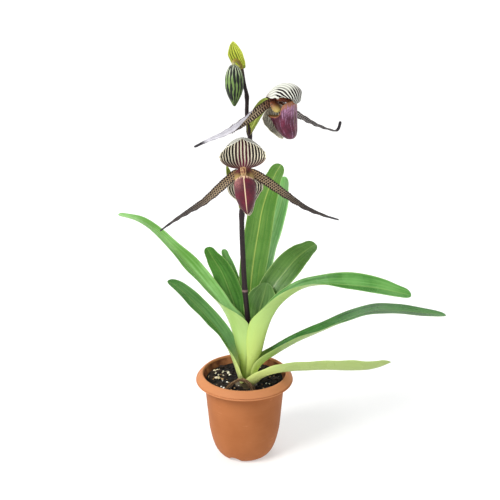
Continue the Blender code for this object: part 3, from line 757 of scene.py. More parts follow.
@dataclass(frozen=True)
class StripeFinish:
    """Lengthwise stripes on a paler ground, as on sepals, bracts and buds."""

    name: str
    ground: Colour
    stripe: Colour
    heart: Colour
    back: Colour
    count: float = 21.0
    width: float = 0.27
    back_strength: float = 0.35
    side_strength: float = 0.9
    side_from: float = 0.3
    heart_reach: float = 0.1
    base_reach: float = 0.16
    base: Colour = ink(196, 186, 110)
    wobble: float = 0.35
    unevenness: float = 0.16
    patchiness: float = 0.9
    nose_from: float = 2.0
    roughness: float = 0.46

    def material(self) -> Material:
        """Build the striped material on the surface coordinates.

        Returns:
            The material.
        """
        graph = Graph(self.name)
        along, across = graph.surface()
        back = graph.attribute(BACK).step(0.5, 0.9)
        middle = across - 0.5
        from_middle = abs(middle)
        sway = graph.streaks(along, across, 4.0, 6.0, 1.0) - 0.5
        turns = middle * self.count + sway * self.wobble
        loose = graph.streaks(along, across, 3.0, self.count * self.patchiness, 2.0) - 0.5
        edge = turns.off_whole() - (loose * self.unevenness + self.width)
        bold = from_middle.step(0.2, 0.32) * along.step(self.side_from, self.side_from + 0.15)
        bold = bold.or_more(along.step(self.nose_from, self.nose_from + 0.12))
        faint = 1.0 - self.back_strength - bold * (self.side_strength - self.back_strength)
        line = edge.step(0.035, -0.035) * from_middle.step(0.492, 0.478) * (1.0 - back * faint)
        ground = graph.layered(
            self.ground,
            (back, self.back),
            (along.step(self.base_reach, 0.0), self.base),
            (graph.noise(graph.place(), 160.0).step(0.55, 0.8) * 0.12, self.base))
        warm = from_middle.step(self.heart_reach, 0.0) * along.step(1.0, 0.2)
        colour = graph.mix(line, ground, graph.mix(warm, self.stripe, self.heart))
        graph.bump(line * 0.5 + graph.streaks(along, across, 6.0, 70.0, 2.0), 0.0003, 0.6)
        return graph.finish(colour, self.roughness, Specular_IOR_Level=0.2)


@dataclass(frozen=True)
class PetalFinish:
    """A petal's rows of dark spots with pale lines between, darkening to its tip."""

    name: str
    length: float
    ground: Colour = ink(178, 156, 122)
    far_ground: Colour = ink(126, 116, 106)
    tip: Colour = ink(30, 24, 32)
    base: Colour = ink(180, 142, 98)
    spot: Colour = ink(30, 13, 12)
    far_spot: Colour = ink(40, 33, 34)
    rows: float = 4.0
    cell: float = 3.3
    bars_until: float = 0.6
    bar_open: float = 0.41
    pale_half: float = 0.0
    pale: Colour = ink(228, 226, 234)
    pale_mark: Colour = ink(150, 146, 160)

    def material(self) -> Material:
        """Build the spotted material on the surface coordinates.

        Returns:
            The material.
        """
        graph = Graph(self.name)
        along, across = graph.surface()
        loose = graph.noise(graph.place(), 240.0) - 0.5
        drift = along + loose * 0.1
        ground = graph.layered(
            self.base,
            (drift.step(0.02, 0.2), self.ground),
            (drift.step(0.3, 0.7), self.far_ground))
        place = across * self.rows + loose * 0.35
        gap = 0.5 - place.off_whole()
        count = along * (self.length / self.cell) + graph.math("FLOOR", place) * 0.37
        bar = 0.5 - (count + loose * 0.6).off_whole()
        near = along.step(self.bars_until, self.bars_until * 0.4)
        closed = 1.0 - bar.step(self.bar_open - 0.07, self.bar_open) * near
        margin = abs(across - 0.5).step(0.4, 0.45)
        marks = gap.step(0.46, 0.39) * closed * (1.0 - drift.step(0.12, 0.0) * 0.3)
        marks = marks.or_more(margin)
        spot = graph.mix(drift.step(0.25, 0.65), self.spot, self.far_spot)
        fade = 1.0 - graph.attribute(BACK).step(0.5, 0.9) * 0.3
        colour = graph.mix(marks * fade, ground, spot)
        if self.pale_half:
            thin = (along * (self.length / 2.0)).off_whole().step(0.16, 0.06) * 0.5
            upper = (across + along * 3.0).step(self.pale_half, self.pale_half + 0.1)
            washed = graph.mix(thin.or_more(margin), self.pale, self.pale_mark)
            colour = graph.mix(upper, colour, washed)
        colour = graph.mix(drift.step(0.82, 0.93), colour, self.tip)
        graph.bump(marks * 0.6 + graph.streaks(along, across, 8.0, 24.0, 2.0), 0.0004, 0.7)
        return graph.finish(colour, 0.5, Sheen_Weight=0.05)


@dataclass(frozen=True)
class PouchFinish:
    """The slipper's glossy skin: a net of veins, a pale midline, a cream rim, a painted highlight and
    painted side shade.
    """

    name: str
    ground: Colour
    shade: Colour
    highlight_and_streak: Colour
    highlight_side: float = 0.36
    highlight_strength: float = 0.85
    midline_strength: float = 0.9
    side_shade: float = 0.0
    net: Colour = ink(66, 14, 34)
    cream: Colour = ink(236, 208, 172)
    rim: Colour = ink(222, 186, 150)
    inside: Colour = ink(186, 150, 96)
    streak: float = 0.0
    lip_reach: float = 0.1

    def material(self) -> Material:
        """Build the pouch's material: along it is 0 at the rim and 1 at the toe.

        Returns:
            The material.
        """
        graph = Graph(self.name)
        along, across = graph.surface()
        front, side = abs(across - 0.5), abs(across - self.highlight_side)
        lengths = graph.streaks(along, across, 2.2, 46.0, 2.0)
        rows, columns = along * 13.0, across * 34.0
        warp = graph.noise(graph.spread(rows, columns), 0.6, 1.0)
        net = graph.cells(graph.spread(rows + warp, columns), 1.0, 0.9, "DISTANCE_TO_EDGE")
        threads = net.step(0.14, 0.02)
        ragged = graph.noise(graph.place(), 420.0) * 0.12
        lip = along + ragged + (lengths - 0.5) * (self.lip_reach * 2.5)
        freckles = graph.cells(graph.place(), 620.0).step(0.3, 0.2) * 0.6
        colour = graph.layered(
            self.shade,
            (graph.noise(graph.place(), 95.0).step(0.35, 0.7), self.ground),
            # A pale patch on one side of the front near the rim is a painted highlight of the glossy
            # skin.
            (side.step(0.17, 0.02) * along.step(0.42, 0.05) * self.highlight_strength, self.highlight_and_streak),
            # The same pale colour also draws the upper pouch's real lengthwise streaks.
            (lengths.step(0.5, 0.68) * self.streak, self.highlight_and_streak),
            (threads * 0.55, self.net),
            # The rear sides are darkened with the vein colour as painted shade.
            (front.step(0.22, 0.27) * self.side_shade, self.net),
            (front.step(0.011, 0.004) * self.midline_strength, self.cream),
            (lip.step(self.lip_reach, self.lip_reach * 0.5), self.rim),
            (graph.attribute(BACK).step(0.4, 0.6),
             graph.mix(freckles, self.inside, self.shade)))
        graph.bump(threads * -0.6 + lengths * 0.8, 0.0004, 0.6)
        return graph.finish(colour, 0.4, Coat_Weight=0.08, Coat_Roughness=0.15)


@dataclass(frozen=True)
class SkinFinish:
    """A soft, speckled and streaked skin, as on stems, ovaries, the column and the crown."""

    name: str
    ground: Colour
    streak: Colour
    speck: Colour
    end: Colour
    streak_count: float = 14.0
    streak_share: float = 0.5
    speck_scale: float = 700.0
    speck_share: float = 0.5
    end_from: float = 0.8
    end_to: float = 1.0
    roughness: float = 0.5
    sheen: float = 0.08
    ring_at: float = 0.0
    ring: Colour = ink(142, 112, 112)
    ring_height: float = 0.0022

    def material(self) -> Material:
        """Build the material from streaks along the surface and specks all over it.

        Returns:
            The material.
        """
        graph = Graph(self.name)
        along, across = graph.surface()
        turn, size = across * TURN, self.streak_count / 6
        wrapped = graph.spread(along * 7.0, graph.math("SINE", turn) * size,
                               graph.math("COSINE", turn) * size)
        streaks = graph.noise(wrapped, 1.0)
        dots = graph.cells(graph.place(), self.speck_scale).step(0.34, 0.18) * self.speck_share
        colour = graph.layered(
            self.ground,
            (streaks.step(0.42, 0.62) * self.streak_share, self.streak),
            (dots, self.speck),
            (along.step(self.end_from, self.end_to), self.end))
        if self.ring_at:
            away = abs(graph.apart(graph.place())[2] - self.ring_at * MM)
            band = away.step(self.ring_height, self.ring_height * 0.3) * 0.8
            colour = graph.mix(band, colour, self.ring)
        graph.bump(dots * 0.5 + streaks, 0.0004, 0.6)
        return graph.finish(colour, self.roughness, Sheen_Weight=self.sheen)


@dataclass(frozen=True)
class PlasticFinish:
    """Satin moulded plastic with faint turned lines, scuffs, a dusty inner wall and a rim painted
    lighter as painted light.
    """

    name: str = "moulded_terracotta"
    ground: Colour = ink(166, 104, 64)
    deep: Colour = ink(156, 95, 56)
    wear_and_rim_light: Colour = ink(214, 150, 106)
    soil: Colour = ink(84, 44, 30)
    rim_height: float = 0.1135

    def material(self) -> Material:
        """Build the plastic from the object's own coordinates.

        Returns:
            The material.
        """
        graph = Graph(self.name)
        place = graph.place()
        x, y, height = graph.apart(place)
        lines = graph.noise(graph.spread(x * 4.0, y * 4.0, height * 420.0), 1.0, 2.0)
        scratch = graph.noise(graph.spread(x * 60.0, y * 60.0, height * 700.0), 1.0, 2.0)
        cloud = graph.noise(place, 22.0)
        raised = height.step(self.rim_height, self.rim_height + 0.002)
        dirt = graph.attribute(BACK).step(0.4, 0.9) * graph.noise(place, 60.0).step(0.2, 0.7)
        colour = graph.layered(
            self.deep,
            ((lines * 0.15 + cloud * 0.85).step(0.3, 0.7), self.ground),
            # The rim above rim_height is painted lighter as painted light on its upward slope; the
            # scuffs below are real wear.
            (raised * 0.45, self.wear_and_rim_light),
            (scratch.step(0.66, 0.76) * cloud.step(0.5, 0.62) * 0.4, self.wear_and_rim_light),
            (dirt, self.soil))
        graph.bump(graph.noise(place, 1500.0, 2.0) * 0.35 + lines * 0.5, 0.0001, 0.4)
        return graph.finish(colour, cloud * 0.2 + 0.4, Specular_IOR_Level=0.05)


@dataclass(frozen=True)
class GrainFinish:
    """Bark, grit or hair in many copies, each a little different in colour."""

    name: str
    dark: Colour
    light: Colour
    roughness: float = 0.9
    scale: float = 300.0
    relief: float = 0.0006

    def material(self) -> Material:
        """Build the material from each copy's own pick and noise over it.

        Returns:
            The material.
        """
        graph = Graph(self.name)
        fine = graph.noise(graph.place(), self.scale, 4.0)
        share = graph.attribute(PICK) * 0.75 + fine * 0.5
        graph.bump(fine, self.relief, 0.8)
        colour = graph.mix(share.step(0.15, 1.1), self.dark, self.light)
        return graph.finish(colour, self.roughness)


class Slot(Enum):
    """The slots that the pieces' materials belong to."""

    POT = "terracotta_plastic"
    MIX = "bark_mix"
    LEAF = "leaf_green"
    CROWN = "crown_green"
    STEM = "stem_purple"
    SHEATH = "dry_sheath"
    OVARY = "ovary_green"
    BRACT = "bract_lime"
    SEPAL = "sepal_stripe"
    PETAL = "petal_spotted"
    POUCH = "pouch_maroon"
    COLUMN = "column_yellow"
    BUD = "bud_dark"


def present(piece: Piece, material: Material, slot: Slot, *nodes: str) -> None:
    """Dress a finished piece and put it in the frame.

    Args:
        piece: The piece, its place in its mesh.
        material: Its finish.
        slot: The slot that the finish belongs to; it is not used.
        nodes: The frame's nodes that it stands for.
    """
    piece.data.materials.clear()
    piece.data.materials.append(material)
    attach(piece, ROOT)
    if nodes:
        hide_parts(*nodes)
    LOG.info("%s: %d faces", piece.name, len(piece.data.polygons))


@dataclass
class Pot:
    """The round plastic pot: a turned wall, a sloped rim and notches round its foot."""

    foot_radius: float = 33.0
    corner: tuple = (45.5, 3.0)
    shoulder: tuple = (51.7, 44.0)
    neck: tuple = (57.9, 114.0)
    rim_radius: float = 70.0
    rim_height: float = 126.6
    rim_inner: float = 60.6
    wall: float = 2.0
    floor: float = 11.0
    sides: int = 160
    notch_count: int = 4
    notch_radius: float = 10.0
    notch_depth: float = 8.5
    notch_turn: float = 0.765
    notch_reach: tuple = (8.0, 60.0)
    sharp: float = 35.0

    def lower_wall(self, inset: float, floor: float, count: int) -> list[tuple[float, float]]:
        """Work out the wall from foot to shoulder, moved in and up by a wall.

        Args:
            inset: How far it is moved in.
            floor: How far its foot is moved up.
            count: The number of points.

        Returns:
            Points of (radius, height).
        """
        t = np.linspace(0, 1, count)[:, None]
        foot = np.array([self.foot_radius - inset / 2, floor])
        corner = np.array([self.corner[0] - inset, self.corner[1] + floor])
        shoulder = np.array([self.shoulder[0] - inset, self.shoulder[1]])
        curve = (1 - t) ** 2 * foot + 2 * t * (1 - t) * corner + t ** 2 * shoulder
        return [tuple(point) for point in curve]

    def upper_wall(self, inset: float, count: int) -> list[tuple[float, float]]:
        """Work out the straight wall above the shoulder, without the shoulder itself.

        Args:
            inset: How far it is moved in.
            count: The number of points.

        Returns:
            Points of (radius, height).
        """
        (radius, height), (end_radius, end_height) = self.shoulder, self.neck
        return [(radius + (end_radius - radius) * share - inset,
                 height + (end_height - height) * share)
                for share in np.linspace(0, 1, count + 1)[1:]]

    def rim(self) -> list[tuple[float, float]]:
        """Work out the rim's outline.

        Returns:
            Points of (radius, height), from under its bead over its top to its inner edge.
        """
        lip, top, neck = self.rim_radius, self.rim_height, self.neck[1]
        under = [(self.neck[0] + 0.4, neck + 0.1), (lip - 3.0, neck + 0.7)]
        bead = [(lip - 1.0, neck + 1.1), (lip - 0.2, neck + 1.5), (lip, neck + 2.1),
                (lip - 0.3, neck + 2.8), (lip - 1.4, neck + 3.2)]
        groove = [(lip - 1.5, neck + 3.8), (lip - 0.7, neck + 4.5), (lip - 1.1, neck + 5.2)]
        slope = [(lip - 2.2, top - 6.5), (lip - 3.6, top - 4.6), (lip - 5.2, top - 2.7),
                 (lip - 6.6, top - 1.4), (lip - 7.6, top - 0.55), (lip - 8.6, top - 0.1),
                 (self.rim_inner, top), (self.rim_inner - 0.6, top - 0.25),
                 (self.rim_inner - 1.0, top - 0.8)]
        inner = [(self.rim_inner - 1.6, top - 4.0), (self.rim_inner - 2.8, top - 8.0),
                 (self.neck[0] - self.wall, neck + 1.0)]
        return under + bead + groove + slope + inner

    def build(self) -> None:
        """Model the pot, cut its notches and dress it."""
        outside = [(0.0, 0.0), (self.foot_radius * 0.5, 0.0)] + self.lower_wall(0.0, 0.0, 18)
        outside += self.upper_wall(0.0, 8)
        inside = self.upper_wall(self.wall, 4)[-2::-1]
        inside += self.lower_wall(self.wall, self.floor, 10)[::-1]
        inside += [(self.foot_radius * 0.5, self.floor), (0.0, self.floor)]
        rim = self.rim()
        skin = turned(outside + rim + inside, self.sides)
        skin.back[len(outside) + len(rim) - 3:] = 1.0
        shell = rolled("pot_shell", skin, 0)
        middle = sum(self.notch_reach) / 2
        for index in range(self.notch_count):
            angle = TURN * (index + self.notch_turn) / self.notch_count
            place = Vector((middle * math.cos(angle), middle * math.sin(angle),
                            self.notch_depth - self.notch_radius)) * MM
            bpy.ops.object.select_all(action="DESELECT")
            bpy.ops.mesh.primitive_cylinder_add(
                vertices=32, radius=self.notch_radius * MM, location=place,
                depth=(self.notch_reach[1] - self.notch_reach[0]) * MM,
                rotation=(0.0, math.pi / 2, angle))
            cutter = bpy.context.object
            cut = shell.modifiers.new("Notch", "BOOLEAN")
            cut.operation = "DIFFERENCE"
            cut.object = cutter
            apply_modifier(shell, cut)
            bpy.data.objects.remove(cutter)
        shade(shell, self.sharp)
        present(shell, PlasticFinish().material(), Slot.POT, "pot")


@dataclass
class PottingMix:
    """The bark mix: a rough bed with chips of bark, perlite and grit lying in it."""

    pot: Pot
    height: float = 114.6
    ripple: float = 0.5
    mound: float = 3.2
    mound_spread: float = 26.0
    middle: tuple = (4.0, -8.0)
    gap: float = 0.3
    rough: float = 1.3
    margin: float = 0.5
    bare: float = 13.0
    seed: int = 7
    sides: int = 120
    rings: int = 44

    def level(self, x: float, y: float) -> float:
        """Work out the height of the bed, which is mounded round the plant.

        Args:
            x: The place to the right.
            y: The place to the back.

        Returns:
            The height there.
        """
        away = math.hypot(x - self.middle[0], y - self.middle[1])
        ripple = self.ripple * math.sin(0.31 * x + 1.0) * math.cos(0.27 * y)
        return self.height + ripple + self.mound * math.exp(-(away / self.mound_spread) ** 2)

    def bed(self) -> Skin:
        """Work out the bed, with its top roughened.

        Returns:
            The bed's skin.
        """
        rim = self.pot.neck[0] - self.pot.wall - self.gap
        sides = self.pot.lower_wall(self.pot.wall + self.gap, self.pot.floor + self.gap, 8)
        top = [(rim * share, self.height) for share in np.linspace(1, 0, self.rings)]
        skin = turned([(0.0, self.pot.floor + self.gap)] + sides + top, self.sides)
        first = 1 + len(sides)
        for row in range(first, len(skin.points)):
            fade = min(1.0, (row - first) / 3)
            for column in range(self.sides):
                x, y, _ = skin.points[row, column]
                rough = noise.fractal(Vector((x, y, 0.0)) * 0.34, 1.0, 2.0, 3) * self.rough * fade
                skin.points[row, column, 2] = self.level(x, y) + rough
            skin.points[row, -1] = skin.points[row, 0]
        skin.points[-1, :, 2] = skin.points[-1, 0, 2]
        return skin

    def scatter(self, name: str, shapes: list, count: int, size: tuple, finish: GrainFinish,
                spot: tuple = (), lift: float = 0.0) -> None:
        """Lay grains or chips on the bed.

        Args:
            name: The piece's name.
            shapes: The grains that are copied.
            count: How many are laid.
            size: The smallest and largest half width.
            finish: Their finish.
            spot: The middle and reach of a patch, or nothing for the whole bed.
            lift: How far they stand out of the bed, as a share of their size.
        """
        draw = random.Random(f"{self.seed} {name}")
        reach = self.pot.neck[0] - self.pot.wall - self.gap
        cluster = Cluster()
        laid = 0
        while laid < count:
            angle, share = draw.uniform(0, TURN), math.sqrt(draw.random())
            half = draw.uniform(*size)
            furthest = reach - half - self.margin
            middle_x, middle_y, out = spot or (0.0, 0.0, furthest)
            x = middle_x + out * share * math.cos(angle)
            y = middle_y + out * share * math.sin(angle)
            to_plant = math.hypot(x - FAN_CENTRE[0], y - FAN_CENTRE[1])
            if math.hypot(x, y) > furthest or to_plant < self.bare:
                continue
            laid += 1
            up = unit([draw.gauss(0, 0.3), draw.gauss(0, 0.3), 1.0])
            turn = draw.uniform(0, TURN)
            side = unit(np.cross(up, (math.cos(turn), math.sin(turn), 0.1)))
            axes = np.array([side * draw.uniform(0.8, 1.5), np.cross(up, side), up]) * half
            place = (x, y, self.level(x, y) + lift * half)
            cluster.add(draw.choice(shapes), place, axes, draw.random())
        present(cluster.build(name, 50.0), finish.material(), Slot.MIX)

    def build(self) -> None:
        """Model the bed and what lies in it."""
        bed = rolled("mix_bed", self.bed(), 0, 180.0)
        bark = GrainFinish("bark_bed", ink(9, 8, 7), ink(30, 24, 20), scale=420.0)
        present(bed, bark.material(), Slot.MIX, "potting_mix")
        chips = [pebble_shape(2, seed, 0.75, 0.42) for seed in range(4)]
        grains = [pebble_shape(1, seed, 0.5, 0.8) for seed in range(4, 7)]
        self.scatter("bark_chips", chips, 210, (1.8, 4.4),
                     GrainFinish("bark_chip", ink(9, 8, 7), ink(44, 33, 26), scale=500.0), lift=0.2)
        self.scatter("bark_crumbs", grains, 420, (0.6, 1.6),
                     GrainFinish("bark_crumb", ink(9, 8, 7), ink(42, 33, 27)), lift=0.6)
        self.scatter("perlite_grains", grains, 26, (0.9, 1.9),
                     GrainFinish("perlite", ink(206, 200, 188), ink(246, 244, 238), 0.95), lift=0.7)
        self.scatter("perlite_patch", grains, 24, (1.0, 2.3),
                     GrainFinish("perlite_cream", ink(190, 172, 128), ink(240, 232, 208), 0.95),
                     spot=(-37.0, 13.0, 17.0), lift=0.7)
        self.scatter("grit_grains", grains, 46, (0.8, 2.0),
                     GrainFinish("tan_grit", ink(120, 92, 62), ink(178, 146, 104)), lift=0.6)


FAN_CENTRE = (3, -20)
BACK_FAN_CENTRE = (5, 8)
CROWN_TOP = 118.0
LEAF_FOOT = 118.4
LEAF_ROOT = 3.0
LEAF_ROWS = 84
LEAF_COLUMNS = 14
STEM_PATH = ((3, -20, 118.6), (4.6, -17, 160), (5.4, -12, 205), (1, -11, 255), (-2, -12, 314),
             (-3, -13, 364), (0, -12, 397), (5, -11, 431), (8, -10, 464), (7, -10, 474),
             (4, -10, 496), (4, -10, 519), (1, -10, 534), (-2, -10, 553))


@dataclass(frozen=True)
class Leaf:
    """A strap leaf that clasps its fan with its base and then follows its own path.

    Its two halves are folded up by crease degrees at the place where it is free of its fan,
    and there it has the shoulder's share of its widest half width. Where it hugs its fan above
    the clasp, hug holds its half width, fold and curl at hug_place.
    """

    name: str
    fan: tuple
    ring: float
    azimuth: float
    clasp_height: float
    path: tuple
    facing: tuple
    widest: float
    crease: float
    free_place: float
    finish: LeafFinish
    clasp_angle: float = 76.0
    tip_crease: float = 12.0
    blunt: float = 3.0
    shoulder: float = 0.84
    wave: float = 0.5
    hug: tuple = ()
    hug_place: float = 0.0
    slender: float = 0.95
    waist: float = 1.0
    flat_from: float = 0.0
    squeeze: float = 0.72

    def fan_axis(self, height: float) -> np.ndarray:
        """Find the middle of the leaf's fan: the stem, or an upright line.

        Args:
            height: The height at which it is wanted.

        Returns:
            The point there.
        """
        if self.fan == FAN_CENTRE:
            stem = np.array(STEM_PATH, float)
            return np.array([np.interp(height, stem[:, 2], stem[:, 0]),
                             np.interp(height, stem[:, 2], stem[:, 1]), height])
        return np.array([*self.fan, height])

    def blade(self) -> Blade:
        """Work out the leaf from its foot round its fan to its tip.

        Returns:
            The leaf's blade.
        """
        angle = math.radians(self.azimuth)
        outward = np.array([math.cos(angle), math.sin(angle), 0.0])
        steps = ((0, self.squeeze), (0.5, (1 + self.squeeze) / 2), (1, 1))
        clasped = [self.fan_axis(LEAF_FOOT + self.clasp_height * share) + outward * self.ring * size
                   for share, size in steps]
        path = tuple(tuple(point) for point in clasped) + self.path
        lengths = np.linalg.norm(np.diff(np.array(path), axis=0), axis=1)
        clasp, free = lengths[:2].sum() / lengths.sum(), self.free_place
        base = self.ring * math.radians(self.clasp_angle)
        free_width = max(base, self.shoulder * self.widest)
        end = min(1.25 * self.blunt, 0.6 * self.widest)
        inward = tuple(-outward)
        middle = self.hug_place or (clasp + free) / 2
        width, fold, curl = self.hug or (0.65 * base + 0.32 * free_width, self.crease / 2,
                                         0.45 * self.clasp_angle)
        late = max(0.55 + free / 5, self.flat_from + 0.1)
        slim = self.slender * self.widest
        return Blade(
            path=path, facing=((0, inward), (clasp, inward)) + self.facing,
            half_width=((0, base * self.squeeze), (clasp, base), (middle, width),
                        (free, free_width), (0.5 + free / 5, self.widest * self.waist),
                        (0.75, slim), (0.88, 0.8 * slim), (0.95, 0.57 * slim), (1, end)),
            crease=((0, 0), (clasp, 0), (middle, fold), (free, self.crease),
                    (late, self.crease * (0.3 if self.flat_from else 0.7)),
                    (1, self.tip_crease)),
            curl=((0, self.clasp_angle), (clasp, self.clasp_angle), (middle, curl), (free, 20),
                  (0.75, 8), (1, 8)),
            thickness=1.1, tip=1.25 * end / lengths.sum(), wave_height=self.wave,
            wave_count=3.0 + lengths.sum() / 90, groove=0.25, keel=0.5)

    def build(self) -> None:
        """Model the leaf and dress it."""
        skin = self.blade().skin(LEAF_ROWS, LEAF_COLUMNS)
        skin.points[0, :, 2] = LEAF_FOOT - LEAF_ROOT
        piece = rolled(f"{self.name}_blade", skin)
        present(piece, self.finish.material(), Slot.LEAF, self.name)


LEAVES = (
    Leaf("leaf_left_long", FAN_CENTRE, 8.6, 180, 26,
         ((-13, -23.5, 179), (-21.5, -20.5, 210), (-33, -11, 232), (-52, 0, 254),
          (-73, 9, 277), (-97, 18, 303.5), (-121, 26, 327), (-146, 32, 343.5), (-177, 36, 351)),
         ((0.25, (1, 0.25, 0.3)), (0.42, (0.75, -0.5, 0.5)), (0.7, (0.55, -0.5, 0.7)),
          (1, (0.2, -0.3, 1))),
         # The long left leaf's light greens are partly its own colour and partly a painted highlight
         # of its glossy sheen.
         18.0, 30, 0.38, LeafFinish("left_long_leaf", ink(150, 204, 124), ink(98, 156, 66),
                                    base=ink(182, 204, 102), base_reach=0.25),
         clasp_angle=100, blunt=4.0, shoulder=0.88, hug=(28.5, 40, 58), hug_place=0.27,
         slender=0.58),
    Leaf("leaf_left_low", FAN_CENTRE, 11.6, 188, 9,
         ((-14, -27, 150), (-22, -30, 174), (-34, -32, 200), (-51, -33, 224),
          (-71, -34, 248), (-89, -36, 268), (-103, -38, 278)),
         ((0.15, (1, -0.3, 0.2)), (0.3, (0.9, -0.4, 0.4)), (0.45, (0.7, -0.5, 0.6)),
          (1, (0.35, -0.5, 0.8))),
         15.5, 28, 0.36, LeafFinish("left_low_leaf", ink(98, 154, 80), ink(64, 118, 50)),
         clasp_angle=72, shoulder=1.05, hug=(17.5, 24, 44), hug_place=0.2),
    Leaf("leaf_left_inner", FAN_CENTRE, 5.6, 180, 44,
         ((-5, -13, 174), (-7, -6, 190), (-9.5, 2, 206), (-13.5, 9.5, 222), (-21, 16, 243),
          (-32, 25, 268), (-45, 32, 288), (-54, 38, 302)),
         ((0.38, (1, -0.15, 0.1)), (0.52, (0.45, -0.85, 0.3)), (1, (0.35, -0.8, 0.5))),
         18.0, 14, 0.5,
         LeafFinish("left_inner_leaf", ink(84, 144, 54), ink(48, 104, 24), base_reach=0.3),
         clasp_angle=88, blunt=9.0, hug=(18, 12, 62)),
    Leaf("leaf_right_short", FAN_CENTRE, 5.6, 0, 44,
         ((11.7, -12.5, 176), (15, -5.5, 191), (18, 0, 207), (23, 4, 226), (28, 8, 243),
          (32, 12, 258)),
         ((0.5, (-1, -0.15, 0.1)), (0.66, (-0.5, -0.85, 0.3)), (0.8, (-0.25, -0.9, 0.35)),
          (1, (-0.15, -0.9, 0.4))),
         20.5, 9, 0.68,
         LeafFinish("right_short_leaf", ink(98, 140, 70), ink(68, 108, 44), base_reach=0.3),
         clasp_angle=88, tip_crease=8, blunt=20.0, slender=1.2),
    Leaf("leaf_right_middle", FAN_CENTRE, 7.1, 0, 40,
         ((16, -10.8, 176), (21, -1.8, 194), (26, 8, 215), (32, 13, 231), (42, 19, 250),
          (57, 28, 268), (74, 38, 285), (91, 48, 296), (103, 55, 302)),
         ((0.31, (-1, -0.28, 0.1)), (0.42, (-0.6, -0.75, 0.4)), (0.55, (-0.4, -0.85, 0.4)),
          (1, (-0.2, -0.75, 0.6))),
         20.0, 16, 0.46,
         LeafFinish("right_middle_leaf", ink(90, 134, 58), ink(62, 104, 36), base_reach=0.3),
         blunt=13.0, slender=1.06),
    Leaf("leaf_right_arching", FAN_CENTRE, 10.1, 0, 16,
         ((19, -21.5, 151), (25, -26, 170), (32, -28.5, 199), (42, -30, 228), (57, -32, 249),
          (80, -34, 266), (105, -37, 272.5), (135, -40, 273), (175, -45, 270.5), (201, -48, 266),
          (223, -50, 262)),
         ((0.3, (-1, 0.35, 0.3)), (0.5, (-0.5, -0.05, 0.9)), (0.75, (0, -0.5, 0.9)),
          (1, (0.3, -0.6, 0.9))),
         18.0, 52, 0.38, LeafFinish("right_arching_leaf", ink(106, 164, 84), ink(54, 116, 38),
                                    base=ink(182, 202, 104), base_reach=0.4),
         clasp_angle=104, blunt=6.0, shoulder=0.9, hug=(29.5, 46, 58), hug_place=0.285,
         waist=0.74, slender=1.04),
    Leaf("leaf_right_long", FAN_CENTRE, 13.1, 0, 6,
         ((19.5, -22, 140), (29, -24, 153), (44, -24, 164), (62, -22, 175), (79, -20, 184),
          (106, -16, 195), (134, -11, 207), (162, -6, 217), (191, -2, 221), (220, 2, 219),
          (256, 6, 214), (287, 10, 210)),
         ((0.2, (-0.7, 0.1, 0.8)), (0.45, (-0.3, 0, 1)), (1, (0.05, -0.1, 1))),
         16.5, 36, 0.2,
         LeafFinish("right_long_leaf", ink(70, 134, 52), ink(32, 90, 26), base_reach=0.2),
         clasp_angle=64, tip_crease=4, flat_from=0.3, hug=(16, 36, 34), slender=1.16,
         blunt=4.0),
    Leaf("leaf_right_low", FAN_CENTRE, 15.0, -50, 3,
         ((17, -34, 127), (26, -38, 136), (44, -44, 145), (66, -52, 152), (86, -58, 156),
          (111, -66, 161), (137, -74, 164), (161, -81, 168), (177, -86, 174), (193, -91, 184)),
         ((0.2, (-0.5, 0.6, 0.9)), (0.6, (-0.1, 0.8, 0.8)), (1, (-0.3, 0.8, 0.8))),
         16.5, 36, 0.26,
         LeafFinish("right_low_leaf", ink(150, 174, 98), ink(116, 150, 72),
                    back=ink(158, 176, 104)),
         clasp_angle=60, tip_crease=24, slender=1.16, blunt=6.0),
    Leaf("leaf_back_tall", BACK_FAN_CENTRE, 3.6, 90, 46,
         ((7, 17, 199), (8, 25, 231), (10, 32, 258), (14, 38, 289), (19, 44, 319),
          (25, 51, 353), (34, 56, 382), (44, 60, 404), (52, 62, 417)),
         ((0.3, (0.05, -1, 0.1)), (1, (-0.1, -1, 0.3))),
         20.5, 8, 0.4,
         LeafFinish("back_tall_leaf", ink(92, 138, 54), ink(66, 116, 34),
                    rib=ink(196, 208, 104), rib_strength=0.45, base_reach=0.3),
         tip_crease=6, blunt=10.0),
    Leaf("leaf_back_right", BACK_FAN_CENTRE, 5.6, 62, 40,
         ((14, 26, 195), (20, 34, 228), (26, 45, 261), (34, 55, 296), (45, 65, 330),
          (55, 71, 365), (58, 75, 397)),
         ((0.3, (-0.5, -0.85, 0.2)), (1, (-0.55, -0.8, 0.2))),
         17.0, 14, 0.4,
         # Its pale bluish greens are partly the leaf's own colour and partly a painted sheen where
         # light glances off it.
         LeafFinish("back_right_leaf", ink(174, 224, 160), ink(112, 180, 96), base_reach=0.3,
                    margin=ink(186, 214, 110), roughness=0.26),
         clasp_angle=52, tip_crease=10, blunt=8.0),
    Leaf("leaf_back_left", BACK_FAN_CENTRE, 8.0, 165, 36,
         ((-7, 17, 185), (-9, 26, 214), (-13, 34, 240), (-20, 42, 264), (-26, 48, 282),
          (-31, 52, 295)),
         ((0.5, (0.6, -0.75, 0.3)), (1, (0.4, -0.8, 0.4))),
         10.5, 16, 0.5,
         LeafFinish("back_left_leaf", ink(132, 182, 112), ink(84, 140, 68), base_reach=0.3),
         clasp_angle=46, tip_crease=14, blunt=7.0),
)


